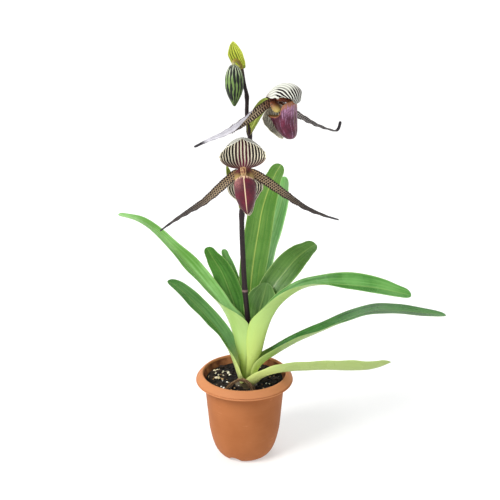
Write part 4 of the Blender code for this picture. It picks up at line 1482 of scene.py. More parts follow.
@dataclass
class Crown:
    """The short stump that carries both fans of leaves."""

    radius: float = 16.4
    back_radius: float = 9.6
    depth: float = 14.0
    taper: float = 0.85
    ripple: float = 0.03
    ripple_count: int = 7
    ripple_from: float = -3.0
    sides: int = 64

    def outline(self, angle: float) -> float:
        """Work out how far the crown reaches from the front fan's centre.

        Args:
            angle: The direction, in radians.

        Returns:
            The reach in that direction.
        """
        x, y = (back - front for back, front in zip(BACK_FAN_CENTRE, FAN_CENTRE))
        step, lean = math.hypot(x, y), math.atan2(y, x)
        best = self.radius
        for share in np.linspace(0, 1, 21):
            centre = step * share
            radius = self.radius + (self.back_radius - self.radius) * share
            off = centre * math.sin(angle - lean)
            if abs(off) < radius:
                half = math.sqrt(radius ** 2 - off ** 2)
                best = max(best, centre * math.cos(angle - lean) + half)
        return best

    def build(self) -> None:
        """Model the stump and dress it."""
        angles = np.linspace(0, TURN, self.sides + 1)
        reach = np.array([self.outline(angle) for angle in angles])
        levels = [(0, -self.depth), (self.taper * 0.9, -self.depth)]
        levels += [(self.taper + (1 - self.taper) * t, -self.depth * (1 - t))
                   for t in (0.1, 0.5, 0.85)]
        levels += [(1, -0.6), (0.985, -0.15), (0.94, 0.1), (0.6, 0.5), (0, 0.7)]
        rings = []
        for share, lift in levels:
            ripple = self.ripple * np.sin(self.ripple_count * angles)
            wave = 1 + ripple * (lift > self.ripple_from)
            rings.append(np.column_stack([
                FAN_CENTRE[0] + reach * share * wave * np.cos(angles),
                FAN_CENTRE[1] + reach * share * wave * np.sin(angles),
                np.full(len(angles), CROWN_TOP + lift)]))
        grid = lattice(np.linspace(0, 1, len(levels)), angles / TURN)
        skin = Skin(np.array(rings), grid, np.zeros((len(levels), self.sides + 1)))
        finish = SkinFinish("crown_skin", ink(84, 72, 46), ink(50, 38, 28), ink(38, 30, 24),
                            ink(76, 66, 42), streak_share=0.8)
        present(rolled("crown_stump", skin), finish.material(), Slot.CROWN, "crown")


@dataclass
class OldSheath:
    """The dry, curled remains of an old leaf's sheath: a torn ribbon and its loose strands."""

    path: tuple = ((13, -43, 117.2), (9.5, -41.5, 124), (3, -40, 130.5), (-5, -40, 133),
                   (-14, -41.5, 130), (-23, -43.5, 123.3), (-31, -44, 116.4))
    strands: int = 6
    lowest: float = 116.2
    seed: int = 3

    def build(self) -> None:
        """Model the ribbon and its strands and dress them."""
        dry = SkinFinish("dry_skin", ink(142, 112, 76), ink(72, 50, 34), ink(184, 156, 114),
                         ink(104, 78, 52), streak_share=0.9, roughness=0.8)
        blade = Blade(self.path, ((0, (0, -0.6, 0.8)), (1, (0, -0.6, 0.8))),
                      ((0, 1.6), (0.3, 2.6), (0.6, 2.2), (1, 1.2)),
                      ((0, 20), (1, 30)), ((0, 60), (1, 80)),
                      thickness=0.5, tip=0.05, twist=((0, -30), (0.5, 60), (1, 150)),
                      wave_height=0.5, wave_count=9)
        ribbon = rolled("old_sheath_ribbon", blade.skin(60, 8))
        present(ribbon, dry.material(), Slot.SHEATH, "old_sheath")
        draw = random.Random(self.seed)
        strand = SkinFinish("dry_strand", ink(104, 78, 52), ink(58, 42, 30), ink(160, 132, 94),
                            ink(84, 62, 42), streak_share=0.8, roughness=0.85)
        material = strand.material()
        for index in range(self.strands):
            bend = np.array(self.path, float)
            bend += np.array([draw.uniform(-3, 3), draw.uniform(-2.5, 2.5), draw.uniform(-3.5, 1)])
            bend[:, 2] = np.maximum(bend[:, 2], self.lowest)
            bend[-1] += np.array([draw.uniform(-3, 3), draw.uniform(-2, 2), 0.0])
            tube = Tube(tuple(map(tuple, bend)), ((0, 0.45), (0.5, 0.7), (1, 0.25)), flatten=0.6)
            piece = rolled(f"old_sheath_strand_{index + 1}", tube.skin(30, 6))
            present(piece, material, Slot.SHEATH)


@dataclass
class FlowerStem:
    """The dark flower stem, swollen at its nodes and covered in short hairs."""

    radius: Stops = ((0, 3.8), (0.4, 3.7), (0.75, 3.1), (1, 2.1))
    nodes: tuple = ((255, 0.7), (364, 0.9), (474, 1.3), (519, 0.7))
    hair_count: int = 900
    seed: int = 11

    def build(self, hair: Shape) -> None:
        """Model the stem and its hairs.

        Args:
            hair: The shape of one hair.
        """
        tube = Tube(STEM_PATH + ((-2.6, -10.2, 556.5),), self.radius, swells=self.nodes,
                    swell_length=4.5)
        skin = tube.skin(180, 18)
        dark = SkinFinish("stem_skin", ink(38, 21, 28), ink(20, 11, 17), ink(84, 60, 64),
                          ink(70, 58, 44), streak_share=0.7, speck_share=0.35, sheen=0.05,
                          ring_at=255.0, end_from=0.96)
        present(rolled("stem_skin", skin), dark.material(), Slot.STEM, "flower_stem")
        fur = Fur(hair, random.Random(self.seed))
        fur.cover(skin, self.hair_count, (0.8, 1.6), 0.07, (0.15, 0.97))
        finish = GrainFinish("stem_hair", ink(50, 32, 39), ink(112, 90, 94), 0.7)
        present(fur.cluster.build("stem_hairs"), finish.material(), Slot.STEM)


@dataclass
class Fur:
    """Hairs that grow on a skin or along a blade's margins."""

    hair: Shape
    draw: random.Random
    cluster: Cluster = field(default_factory=Cluster)

    def cover(self, skin: Skin, count: int, length: tuple, radius: float,
              reach: tuple = (0, 1)) -> None:
        """Grow hairs all over a skin.

        Args:
            skin: What they grow on.
            count: How many there are.
            length: The shortest and the longest.
            radius: How thick they are at the root.
            reach: The first and last share of the skin's rows that has hairs.
        """
        rows, columns = skin.points.shape[:2]
        for _ in range(count):
            row = int(self.draw.uniform(*reach) * (rows - 2))
            column = self.draw.randrange(columns - 1)
            spot = skin.points[row, column]
            on, beside = skin.points[row + 1, column] - spot, skin.points[row, column + 1] - spot
            root = spot + on * self.draw.random() * 0.9 + beside * self.draw.random() * 0.9
            out = root - skin.points[row, :-1].mean(axis=0)
            if np.linalg.norm(out) < 1e-6:
                continue
            lean = np.array([self.draw.gauss(0, 0.25) for _ in range(3)])
            self.cluster.add(self.hair, root - unit(out) * 0.25,
                             hair_axes(unit(out) + lean, self.draw.uniform(*length), radius),
                             self.draw.random())

    def fringe(self, blade: Blade, spots: np.ndarray, length: tuple, radius: float,
               hub: Point = (0, 0, 0), yaw: float = 0.0) -> None:
        """Grow hairs out of both margins of a blade.

        Args:
            blade: What they grow on.
            spots: Places along it that have a hair on each margin.
            length: The shortest and the longest.
            radius: How thick they are at the root.
            hub: Where the blade's own origin is.
            yaw: How far the blade is turned, in degrees.
        """
        points, up = blade.sheet(np.asarray(spots), np.array([-1.0, -0.9, 0.9, 1.0]))
        ends, normals = placed(points, hub, yaw), placed(up, (0, 0, 0), yaw)
        for row in range(len(spots)):
            for edge, inner in ((0, 1), (3, 2)):
                out = unit(ends[row, edge] - ends[row, inner])
                lean = normals[row, edge] * self.draw.uniform(-0.7, 0.9)
                lean = lean + np.array([self.draw.gauss(0, 0.2) for _ in range(3)])
                self.cluster.add(self.hair, ends[row, edge] - out * 0.3,
                                 hair_axes(out + lean, self.draw.uniform(*length), radius),
                                 self.draw.random())


@dataclass(frozen=True)
class Looks:
    """The finishes of one flower."""

    dorsal: StripeFinish
    ventral: StripeFinish
    petal_left: PetalFinish
    petal_right: PetalFinish
    pouch: PouchFinish
    column: SkinFinish
    lobe: SkinFinish
    ovary: SkinFinish
    bract: StripeFinish


POUCH_OUTER = 26
POUCH_INNER = 18
POUCH_SIDES = 56


@dataclass
class Flower:
    """One slipper flower, in its own frame: it faces -Y, with its hub at the origin.

    The sides of its pouch's rim are folded down by rim_step beyond fold_from degrees, over
    fold_over more, and that fades out over fold_reach of the pouch's length.
    """

    name: str
    hub: tuple
    yaw: float
    roll: float
    ovary: tuple
    bract: Blade
    dorsal_path: tuple
    dorsal_curl: float
    dorsal_roll: float
    petal_left: tuple
    petal_right: tuple
    looks: Looks
    left_twist: Stops = ((0, 0), (0.6, 10), (1, 50))
    right_twist: Stops = ((0, 0), (0.6, -10), (1, -50))
    seed: int = 5
    hub_radius: float = 5.0
    sepal_width: Stops = ((0, 8), (0.06, 20), (0.13, 29.5), (0.23, 34.5), (0.37, 36),
                          (0.5, 35), (0.64, 32), (0.8, 25.5), (0.93, 16), (1, 9))
    ventral_width: Stops = ((0, 5), (0.12, 15), (0.26, 25), (0.42, 23.5), (0.58, 16),
                            (0.75, 10), (0.92, 6), (1, 4))
    ventral_path: tuple = ((0, 0.5, -5.8), (0, 6.5, -15), (0, 7, -28), (0.5, 1, -41),
                           (1.5, -10, -52), (2.5, -15, -55.5))
    petal_width: Stops = ((0, 4.4), (0.08, 5.8), (0.2, 6), (0.4, 5), (0.6, 3.7), (0.8, 2.6),
                          (0.93, 2.1), (1, 2))
    dorsal_facing: Stops = ((0, (0, -1, 0)), (0.5, (0, -1, -0.6)), (1, (0, 0.4, -1)))
    ventral_facing: Stops = ((0, (0, -1, 0)), (1, (0, -1, 0.5)))
    petal_facing: Stops = ((0, (0, -1, 0.15)), (1, (0, -1, 0.5)))
    pouch_centre: tuple = ((0, -20.5, -3), (0, -20.5, -16), (0, -21.5, -30), (0, -24, -41),
                           (0, -26, -49))
    pouch_half_width: Stops = ((0, 11.6), (0.2, 13.6), (0.45, 13.6), (0.7, 11), (0.88, 6.8),
                               (1, 2.8))
    pouch_half_depth: Stops = ((0, 11), (0.2, 12), (0.5, 12), (0.75, 10), (0.9, 6.5), (1, 2.8))
    pouch_wall: float = 1.0
    rim_raise: float = 2.5
    rim_dip: float = 4.0
    rim_step: float = 0.0
    mouth: float = 0.3
    fold_reach: float = 0.55
    fold_from: float = 72.0
    fold_over: float = 34.0
    back_depth: float = 1.0
    heel: tuple = (4, 1)
    column_path: tuple = ((0, -6.5, 2.5), (0, -9.5, 4.5), (0, -13.5, 6), (0, -17.5, 6),
                          (0, -20.5, 3.5), (0, -22, -1.5), (0, -22, -5.5))
    column_radius: Stops = ((0, 3), (0.17, 3.4), (0.34, 3.6), (0.5, 3.6), (0.67, 3.6),
                            (0.84, 3.2), (1, 1.5))
    lobe_path: tuple = ((3, -4, 2.5), (7, -7, 0), (9.5, -11, -4), (10.5, -16, -8.5))
    lobe_width: Stops = ((0, 3.5), (0.4, 6), (0.75, 6), (1, 4))

    def here(self, skin: Skin, roll: float) -> Skin:
        """Return a skin of the flower's own frame, tipped sideways and put where the flower is."""
        return replace(skin, points=placed(skin.points, self.hub, self.yaw, roll))

    def sepal(self, part: str, path: tuple, width: Stops, facing: Stops, curl: float,
              finish: StripeFinish, tip: float, roll: float) -> None:
        """Model one broad, cupped sepal.

        Args:
            part: What the sepal is called.
            path: Its midrib.
            width: Its half width along it.
            facing: Which way its inner face looks.
            curl: How far each half curls forward, in degrees.
            finish: Its finish.
            tip: The share of its length over which its end is rounded.
            roll: How far it is tipped sideways, in degrees.
        """
        blade = Blade(path, facing, width, FLAT,
                      ((0, 10), (0.3, curl), (1.0, curl)), thickness=0.9, tip=tip,
                      wave_height=0.5, wave_count=5.0, keel=0.5, crowding=1.25)
        piece = rolled(f"{self.name}_{part}_blade", self.here(blade.skin(40, 28), roll))
        present(piece, finish.material(), Slot.SEPAL, f"{self.name}_{part}")

    def petal(self, part: str, path: tuple, twist: Stops, finish: PetalFinish, fur: Fur,
              warts: Cluster, wart: Shape) -> None:
        """Model one long petal, with hairs and warts on its margins.

        Args:
            part: What the petal is called.
            path: Its midrib.
            twist: How far it turns about its midrib along its length.
            finish: Its finish.
            fur: What gathers its hairs.
            warts: What gathers its warts.
            wart: The shape of one wart.
        """
        blade = Blade(path, self.petal_facing, self.petal_width,
                      ((0, 10), (0.5, 16), (1, 10)), ((0, 6), (1, 6)),
                      thickness=0.9, tip=0.02, twist=twist, wave_height=0.7, wave_count=9.0,
                      groove=0.1, keel=0.3, crowding=1.15)
        piece = rolled(f"{self.name}_{part}_blade", self.here(blade.skin(110, 12), 0.0))
        present(piece, finish.material(), Slot.PETAL, f"{self.name}_{part}")
        fur.fringe(blade, np.linspace(0.04, 0.6, 90), (0.8, 2), 0.1, self.hub, self.yaw)
        spots = np.linspace(0.05, 0.55, 24)
        points, _ = blade.sheet(spots, np.array([-0.98, 0.98]))
        for edge in placed(points, self.hub, self.yaw).reshape(-1, 3):
            size = fur.draw.uniform(0.4, 0.75)
            warts.add(wart, edge, np.eye(3) * size, fur.draw.random() * 0.5)

    def lobes(self, finish: SkinFinish) -> None:
        """Model the two side lobes that join the pouch's rim to the column.

        Args:
            finish: Their finish.
        """
        material = finish.material()
        for hand, side in ((-1, "left"), (1, "right")):
            path = tuple((hand * x, y, z) for x, y, z in self.lobe_path)
            blade = Blade(path, ((0, (hand * 0.4, -1, 0.5)), (1, (hand, -0.6, 0.3))),
                          self.lobe_width, FLAT, ((0, -30), (1, -50)), thickness=1.2,
                          tip=0.2, wave_height=0.4, wave_count=3.0)
            skin = self.here(blade.skin(16, 10), self.roll)
            piece = rolled(f"{self.name}_side_lobe_{side}", skin)
            present(piece, material, Slot.COLUMN)

    def pouch_skin(self) -> Skin:
        """Work out the pouch from its toe up its outer wall, over its rim and down inside.

        Returns:
            The pouch's skin.
        """
        up, down = np.linspace(1, 0, POUCH_OUTER)[1:], np.linspace(0, 1, POUCH_INNER)[1:]
        places = np.concatenate([[1, 1, 1], up, [0, 0, 0], down, [1]])
        outside, inside = np.zeros(3 + len(up)), np.ones(len(down) + 1)
        inset = np.concatenate([outside, [0.2, 0.6, 0.95], inside]) * self.pouch_wall
        crest = np.concatenate([outside, [0.4, 0.5, 0.3], 0 * inside]) * self.pouch_wall
        inner = np.concatenate([outside, [0, 0.5, 1], inside])
        shrink = np.concatenate([[0, 0.45, 0.82], np.ones(len(places) - 4), [0]])
        drop = np.concatenate([[1.3, 1.0, 0.4], np.zeros(len(places) - 3)])
        centre, _ = smooth_line(self.pouch_centre, places)
        angles = np.linspace(-math.pi, math.pi, POUCH_SIDES + 1)
        width = (eased(self.pouch_half_width, places) - inset) * shrink
        depth = (eased(self.pouch_half_depth, places) - inset) * shrink
        openness = np.maximum(0.0, 1 - places / self.mouth)[:, None]
        forward = np.cos(angles)[None, :]
        heel = openness * np.maximum(0.0, -forward) ** 4
        lift = openness * (self.rim_raise * forward - self.rim_dip * np.sin(angles)[None, :] ** 2)
        past = np.abs(angles) - math.radians(self.fold_from)
        folded = np.clip(past / math.radians(self.fold_over), 0, 1)[None, :]
        low = np.maximum(0.0, 1 - places / self.fold_reach)[:, None]
        lift = lift - self.rim_step * low * folded ** 2 * (3 - 2 * folded)
        crease = 1 - 0.05 * np.exp(-(angles / 0.09) ** 2) * np.sin(math.pi * places)[:, None]
        flute = 1 + 0.012 * np.sin(9 * angles)[None, :] * np.sin(math.pi * places)[:, None]
        x = width[:, None] * np.sin(angles)[None, :] * flute
        deeper = np.maximum(0.0, -forward) ** 0.5 * (1 - places[:, None]) ** 0.7
        behind = 1 + (self.back_depth - 1) * deeper
        y = self.heel[0] * heel - depth[:, None] * forward * crease * flute * behind
        raised = np.where(inner > 0.9, places * self.pouch_wall, 0.0) + crest - drop
        z = self.heel[1] * heel + lift + raised[:, None]
        points = centre[:, None] + np.stack([x, y, z], axis=-1)
        grid = lattice(places, (angles + math.pi) / TURN)
        return Skin(points, grid, np.tile(inner[:, None], (1, len(angles))))

    def build(self, hair: Shape, wart: Shape) -> None:
        """Model every piece of the flower and dress it.

        Args:
            hair: The shape of one hair.
            wart: The shape of one wart.
        """
        looks = self.looks
        fur = Fur(hair, random.Random(self.seed))
        warts = Cluster()
        self.sepal("dorsal_sepal", self.dorsal_path, self.sepal_width, self.dorsal_facing,
                   self.dorsal_curl, looks.dorsal, 0.1, self.dorsal_roll)
        self.sepal("ventral_sepal", self.ventral_path, self.ventral_width, self.ventral_facing,
                   38.0, looks.ventral, 0.08, self.roll)
        self.petal("petal_left", self.petal_left, self.left_twist, looks.petal_left, fur, warts,
                   wart)
        self.petal("petal_right", self.petal_right, self.right_twist, looks.petal_right, fur, warts,
                   wart)
        pouch = rolled(f"{self.name}_pouch_skin", self.here(self.pouch_skin(), self.roll))
        present(pouch, looks.pouch.material(), Slot.POUCH, f"{self.name}_pouch")
        tube = Tube(self.column_path, self.column_radius, flatten=0.5)
        column = self.here(tube.skin(26, 20), self.roll)
        present(rolled(f"{self.name}_staminode", column), looks.column.material(), Slot.COLUMN,
                f"{self.name}_column")
        self.lobes(looks.lobe)
        radius = ((0, 2.4), (0.75, 4.2), (0.86, self.hub_radius), (0.94, self.hub_radius),
                  (1, 4))
        ovary = Tube(self.ovary, radius, ribs=6, rib_height=0.05).skin(44, 36)
        present(rolled(f"{self.name}_ovary_skin", ovary), looks.ovary.material(), Slot.OVARY,
                f"{self.name}_ovary")
        bract = replace(self.bract, tip=0.05, wave_height=0.4, keel=0.3)
        present(rolled(f"{self.name}_bract_blade", bract.skin(30, 14)), looks.bract.material(),
                Slot.BRACT, f"{self.name}_bract")
        fur.cover(column, 220, (0.8, 2.2), 0.09, (0.35, 0.9))
        fur.cover(ovary, 260, (0.5, 1.2), 0.07, (0.05, 0.8))
        fur.fringe(bract, np.linspace(0.05, 0.95, 40), (0.6, 1.3), 0.07)
        down = GrainFinish(f"{self.name}_hair", ink(70, 34, 30), ink(176, 120, 84), 0.7)
        present(fur.cluster.build(f"{self.name}_hairs"), down.material(), Slot.COLUMN)
        dark = GrainFinish(f"{self.name}_wart", ink(34, 18, 22), ink(80, 44, 40), 0.5)
        present(warts.build(f"{self.name}_warts"), dark.material(), Slot.PETAL)


def flowers() -> tuple[Flower, Flower]:
    """Describe both flowers with their finishes.

    Returns:
        The front flower and the upper flower.
    """
    ivory, night, plum = ink(255, 250, 222), ink(20, 8, 11), ink(96, 26, 50)
    silver = ink(226, 226, 214)
    ovary = SkinFinish("front_ovary_skin", ink(132, 146, 74), ink(82, 44, 46), ink(110, 80, 60),
                       ink(150, 140, 84), streak_count=20.0, streak_share=0.8)
    column = SkinFinish("front_column_skin", ink(206, 166, 112), ink(100, 36, 42), ink(86, 34, 34),
                        ink(222, 196, 150), streak_count=9.0, streak_share=0.85, speck_scale=560.0,
                        end_from=0.7)
    # The lobes' dark maroon near the column is partly their own colour and partly painted shade where
    # they meet the staminode; they turn golden towards their ends.
    lobe = SkinFinish("front_lobe_skin", ink(96, 38, 38), ink(64, 22, 28), ink(40, 14, 18),
                      ink(168, 142, 84), streak_count=17.0, streak_share=0.9, speck_scale=260.0,
                      speck_share=0.9, end_from=0.25, end_to=0.8)
    lime = StripeFinish("front_bract_stripe", ink(176, 192, 84), ink(58, 74, 34), ink(70, 84, 36),
                        ink(168, 186, 84), count=11.0, width=0.2, back_strength=0.8,
                        base=ink(70, 40, 40), base_reach=0.3)
    dorsal = StripeFinish("front_dorsal_stripe", ivory, night, plum, silver, count=16.0,
                          width=0.31, back_strength=0.85, base=ink(112, 48, 54), base_reach=0.34,
                          heart_reach=0.22)
    ventral = StripeFinish("front_ventral_stripe", ivory, night, night,
                           ink(206, 202, 150), count=14.0, width=0.28, back_strength=0.9,
                           base=ink(170, 164, 96), base_reach=0.12)
    front_looks = Looks(
        dorsal, ventral, PetalFinish("front_petal_left_spots", 140.0),
        PetalFinish("front_petal_right_spots", 146.0),
        # The front pouch's pale pink is a painted highlight of its glossy skin.
        PouchFinish("front_pouch_net", ink(108, 18, 42), ink(72, 8, 30), ink(190, 130, 126),
                    highlight_strength=0.6),
        column, lobe, ovary, lime)
    upper_looks = Looks(
        replace(dorsal, name="upper_dorsal_stripe", back_strength=0.4, side_strength=1.0,
                side_from=0.34, nose_from=0.62, back=ink(222, 224, 212), base_reach=0.27,
                heart_reach=0.14),
        replace(ventral, name="upper_ventral_stripe"),
        PetalFinish("upper_petal_left_spots", 136.0, ground=ink(178, 158, 128),
                    base=ink(140, 96, 72), pale_half=1.6, rows=2.0, cell=3.8, bar_open=0.34),
        PetalFinish("upper_petal_right_spots", 144.0, ground=ink(216, 208, 200),
                    far_ground=ink(196, 190, 186)),
        # The upper pouch's pale lilac is both a painted highlight and its real streaks; its rear
        # sides carry painted shade.
        PouchFinish("upper_pouch_net", ink(112, 32, 62), ink(70, 16, 40), ink(184, 138, 174),
                    streak=0.75, midline_strength=0.15, highlight_side=0.42, side_shade=0.7,
                    rim=ink(160, 106, 70), lip_reach=0.22),
        replace(column, name="upper_column_skin", ground=ink(140, 76, 44), streak=ink(92, 30, 30)),
        replace(lobe, name="upper_lobe_skin", ground=ink(132, 78, 46), streak=ink(104, 44, 36),
                end=ink(182, 166, 92), end_to=1.1),
        replace(ovary, name="upper_ovary_skin", ground=ink(156, 172, 72), end=ink(112, 52, 42),
                end_from=0.84, end_to=0.92, streak_share=0.35),
        replace(lime, name="upper_bract_stripe", base=ink(120, 96, 60)))
    front = Flower(
        "front", (0, -54, 432), 0.0, 5.5,
        ovary=((-4.2, -16.5, 372.5), (-5.5, -19, 385), (-8, -25, 402), (-9, -33, 418),
               (-5.5, -42, 428), (-1, -50, 431.5), (0, -59, 432)),
        bract=Blade(((-4.5, -12, 365.8), (-8, -14.5, 382), (-15, -20, 400), (-21, -25, 417),
                     (-22.5, -30, 433.5)),
                    ((0, (0.9, -0.45, 0.25)), (1, (0.6, -0.8, 0.25))),
                    ((0, 3), (0.3, 4.2), (0.6, 6.2), (0.85, 5.4), (1, 1.6)),
                    ((0, 20), (1, 25)), ((0, 60), (1, 30)), 0.9),
        dorsal_path=((0, -2.5, 1.5), (0, 0.5, 5.5), (0, 4.5, 13), (0, 5, 24), (0, 1, 35),
                     (0, -8, 43), (0, -18, 43.5)),
        dorsal_curl=62.0, dorsal_roll=2.5,
        petal_left=((-6, -1, -0.5), (-12, -4, -4.5), (-27, -6, -18), (-49, -6, -38),
                    (-69, -2, -52), (-90, 4, -67), (-109.5, 8, -82)),
        petal_right=((5.5, -1, -0.5), (12, -4, -2.5), (27, -6, -11), (52, -6, -29), (79, -2, -48),
                     (105, 4, -60.5), (124, 8, -67)),
        looks=front_looks)
    upper = Flower(
        "upper", (37.5, -37.5, 518), 52.0, 0.0,
        ovary=((10.8, -12.9, 478.3), (16, -16, 488), (22, -20, 500), (29, -26.5, 511),
               (34.1, -33.9, 517), (41.4, -40.6, 518)),
        bract=Blade(((7.5, -13.5, 469.5), (13, -12.5, 480), (19.5, -11, 493), (25, -11.5, 506),
                     (29, -15, 519)),
                    ((0, (-0.6, -0.7, 0.5)), (1, (-0.55, -0.7, 0.3))),
                    ((0, 4.5), (0.3, 11.5), (0.6, 11.5), (0.85, 8), (1, 1.6)),
                    ((0, 20), (1, 25)), ((0, 60), (1, 30)), 0.9),
        dorsal_path=((0, 6, 1), (-0.5, 5, 6), (-1, 0, 13), (-2, -7, 18.5), (-2, -17, 22),
                     (-2, -27, 22), (-1.5, -35, 18), (-1, -39.5, 11), (0, -39, 3.5),
                     (0, -34, -2.5)),
        dorsal_curl=84.0, dorsal_roll=-6.0,
        dorsal_facing=((0, (0, -1, 0.2)), (0.25, (0, -0.7, -0.8)), (0.5, (0, 0, -1)),
                       (0.75, (0, 0.5, -0.85)), (1, (0, 0.8, -0.5))),
        sepal_width=((0, 7), (0.06, 14), (0.13, 21), (0.25, 26), (0.4, 29.5), (0.55, 32.5),
                     (0.7, 32), (0.85, 26), (0.95, 17), (1, 9)),
        petal_width=((0, 4.4), (0.08, 5.6), (0.2, 6), (0.4, 5), (0.6, 3.6), (0.8, 2.4),
                     (0.93, 2.1), (1, 2.1)),
        pouch_half_width=((0, 14), (0.2, 15.2), (0.45, 14.8), (0.7, 13.2), (0.88, 10.4), (1, 6.6)),
        pouch_half_depth=((0, 11.5), (0.2, 12.2), (0.5, 12.2), (0.75, 11.2), (0.9, 9), (1, 6)),
        rim_raise=5.0, rim_dip=2.0, rim_step=12.0, back_depth=2.1,
        pouch_centre=((0, -20.5, -3), (0, -20.5, -15), (0, -21.5, -28), (0, -24, -38),
                      (0, -26, -45)),
        lobe_path=((4, -5, 1), (8, -9, -3), (10.5, -13, -8), (11.5, -15.5, -12.5)),
        lobe_width=((0, 6), (0.4, 7), (0.75, 6), (1, 4.5)), hub_radius=6.5,
        column_path=((0, -5.5, 1.5), (0, -10, 2.5), (0, -15, 3), (0, -20, 2.5), (0, -24, 0.5),
                     (0, -26.5, -3), (0, -27, -6)),
        column_radius=((0, 5.5), (0.17, 6.6), (0.34, 7), (0.5, 6.8), (0.67, 6), (0.84, 4.6),
                       (1, 2)),
        ventral_path=((0, 0.5, -5.8), (0, 6.5, -15), (0, 7, -26), (0, 2, -36), (1, -8, -44),
                      (2, -14, -47)),
        petal_left=((-5.8, -1, 0), (-17, 3, -6), (-47, 9.7, -22), (-80, 13.7, -33),
                    (-105, 16.7, -38), (-127, 20.7, -44)),
        petal_right=((5.8, -1, 0), (27, 2, -12), (50, 0, -23), (81, -10, -39), (107, -21, -49),
                     (114, -25, -48), (119, -26, -37)),
        looks=upper_looks, seed=9)
    return front, upper


@dataclass
class StemTop:
    """The unopened top of the stem: a striped bract, and a bud that hangs from its stalk."""

    bract: Blade = Blade(((1.4, -6.2, 554.7), (-2, -7.5, 563), (-6, -11, 572), (-10, -16, 581),
                          (-13.5, -21, 589)),
                         ((0, (-0.6, -0.8, 0.1)), (1, (-0.3, -0.9, -0.3))),
                         ((0, 5), (0.3, 13.5), (0.6, 13.5), (0.85, 8), (1, 2)),
                         ((0, 20), (1, 15)), ((0, 50), (1, 30)), 0.9,
                         tip=0.06, keel=0.4)
    stalk: Tube = Tube(((-2.3, -10.9, 554.3), (-4, -14, 560), (-8, -19, 565.5), (-12, -24, 565),
                        (-13, -26, 559.4)), ((0, 2), (1, 2.5)))
    bud: Tube = Tube(((-12.6, -26, 561), (-12.3, -26, 550), (-11.9, -26, 529), (-11.8, -26, 509)),
                     ((0, 4), (0.06, 6.4), (0.18, 9.8), (0.36, 11.8), (0.5, 11.8), (0.68, 9.8),
                      (0.84, 6), (0.95, 2.8), (1, 1.2)), flatten=0.9, ribs=3, rib_height=0.03,
                     start=0.04, end=0.02)
    seed: int = 17

    def build(self, hair: Shape) -> None:
        """Model the bract, the stalk and the bud, with their hairs.

        Args:
            hair: The shape of one hair.
        """
        lime = StripeFinish("top_bract_stripe", ink(222, 232, 92), ink(104, 122, 40),
                            ink(104, 122, 40), ink(222, 232, 92), count=8.0, width=0.2,
                            back_strength=0.9, base=ink(150, 160, 60), base_reach=0.2)
        present(rolled("top_bract_blade", self.bract.skin(34, 16)), lime.material(), Slot.BRACT,
                "top_bract")
        green = SkinFinish("bud_stalk_skin", ink(150, 134, 48), ink(92, 66, 34), ink(104, 78, 40),
                           ink(196, 200, 150))
        stalk = self.stalk.skin(24, 14)
        present(rolled("bud_stalk_skin", stalk), green.material(), Slot.OVARY, "bud_stalk")
        dark = StripeFinish("bud_stripe", ink(112, 140, 78), ink(34, 38, 34), ink(34, 38, 34),
                            ink(112, 140, 78), count=15.0, width=0.33, back_strength=1.0,
                            unevenness=1.3, patchiness=0.28,
                            base=ink(206, 216, 186), base_reach=0.36, heart_reach=0.01, wobble=0.6)
        bud = self.bud.skin(48, 36)
        present(rolled("bud_skin", bud), dark.material(), Slot.BUD, "bud")
        fur = Fur(hair, random.Random(self.seed))
        fur.cover(bud, 260, (0.5, 1.1), 0.07, (0.08, 0.9))
        fur.fringe(self.bract, np.linspace(0.05, 0.97, 46), (0.6, 1.3), 0.07)
        down = GrainFinish("top_hair", ink(120, 120, 84), ink(220, 220, 190), 0.7)
        present(fur.cluster.build("top_hairs"), down.material(), Slot.BRACT)


class LampKind(Enum):
    """The kinds of light in the studio."""

    SUN = "SUN"
    AREA = "AREA"


@dataclass(frozen=True)
class Lamp:
    """One soft light: where it is, how wide and how strong it is."""

    name: str
    kind: LampKind
    place: Point
    size: float
    power: float
    colour: tuple = (1.0, 1.0, 1.0)


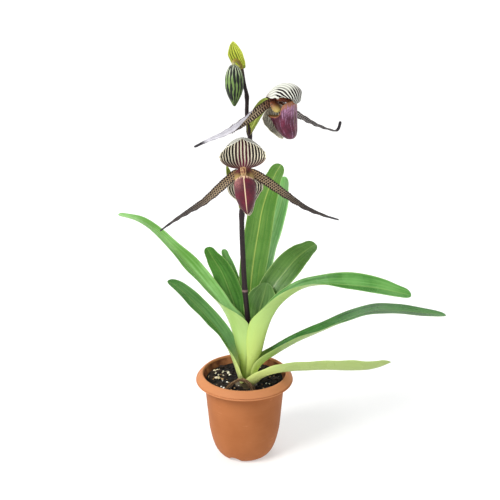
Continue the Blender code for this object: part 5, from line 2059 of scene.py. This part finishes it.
@dataclass
class Studio:
    """The camera in front and a little above, a pale plain floor and soft studio light."""

    camera_place: tuple = (0.008, -1.05, 0.637)
    camera_pitch: float = 17.3
    lens: float = 57.6
    target: tuple = (0.02, 0.0, 0.28)
    floor_size: float = 900.0
    floor_drop: float = 0.0002
    floor_colour: Colour = (0.6, 0.6, 0.6, 1.0)
    floor_glow: float = 0.42
    sky: float = 0.5
    horizon: float = 1.05
    lamps: tuple = (
        Lamp("key", LampKind.SUN, (-1.0, -0.8, 1.5), 26.0, 2.9, (1.0, 0.985, 0.96)),
        Lamp("back", LampKind.AREA, (0.1, 1.3, 1.7), 1.4, 12.0, (0.93, 0.97, 1.0)),
    )

    def build(self) -> None:
        """Set up the floor, the lights, the world and the camera."""
        bpy.ops.object.select_all(action="DESELECT")
        bpy.ops.mesh.primitive_plane_add(size=self.floor_size, location=(0, 0, -self.floor_drop))
        floor = bpy.context.object
        floor.name = "floor"
        graph = Graph("studio_floor")
        floor.data.materials.append(graph.finish(
            self.floor_colour, 0.9, Emission_Color=(1.0, 1.0, 1.0, 1.0),
            Emission_Strength=self.floor_glow))
        for lamp in self.lamps:
            bpy.ops.object.light_add(type=lamp.kind.value, location=lamp.place)
            light = bpy.context.object
            light.name = lamp.name
            if lamp.kind is LampKind.SUN:
                light.data.angle = math.radians(lamp.size)
            else:
                light.data.size = lamp.size
            light.data.energy = lamp.power
            light.data.color = lamp.colour
            aim = Vector(self.target) - Vector(lamp.place)
            light.rotation_euler = aim.to_track_quat("-Z", "Y").to_euler()
        world = bpy.data.worlds.new("studio")
        bpy.context.scene.world = world
        world.use_nodes = True
        tree = world.node_tree
        background = tree.nodes["Background"]
        background.inputs[0].default_value = (1.0, 1.0, 1.0, 1.0)
        direction = tree.nodes.new("ShaderNodeTexCoord")
        apart = tree.nodes.new("ShaderNodeSeparateXYZ")
        fade = tree.nodes.new("ShaderNodeMapRange")
        tree.links.new(direction.outputs["Generated"], apart.inputs[0])
        tree.links.new(apart.outputs[2], fade.inputs[0])
        for index, value in enumerate((0.1, 0.5, self.horizon, self.sky), 1):
            fade.inputs[index].default_value = value
        tree.links.new(fade.outputs[0], background.inputs[1])
        bpy.ops.object.camera_add(location=self.camera_place,
                                  rotation=(math.radians(90 - self.camera_pitch), 0.0, 0.0))
        camera = bpy.context.object
        camera.data.lens = self.lens
        camera.data.clip_start = 0.05
        camera.data.clip_end = 2 * self.floor_size
        bpy.context.scene.camera = camera
        bpy.context.scene.view_settings.view_transform = "Standard"


def main() -> None:
    """Build the pot, the plant, its flowers and the studio."""
    logging.basicConfig(level=logging.INFO, format="%(name)s: %(message)s")
    pot = Pot()
    pot.build()
    PottingMix(pot).build()
    Crown().build()
    OldSheath().build()
    for leaf in LEAVES:
        leaf.build()
    hair = hair_shape()
    wart = pebble_shape(1, 1, 0.3, 1.0)
    FlowerStem().build(hair)
    for flower in flowers():
        flower.build(hair, wart)
    StemTop().build(hair)
    Studio().build()


if __name__ == "__main__":
    main()
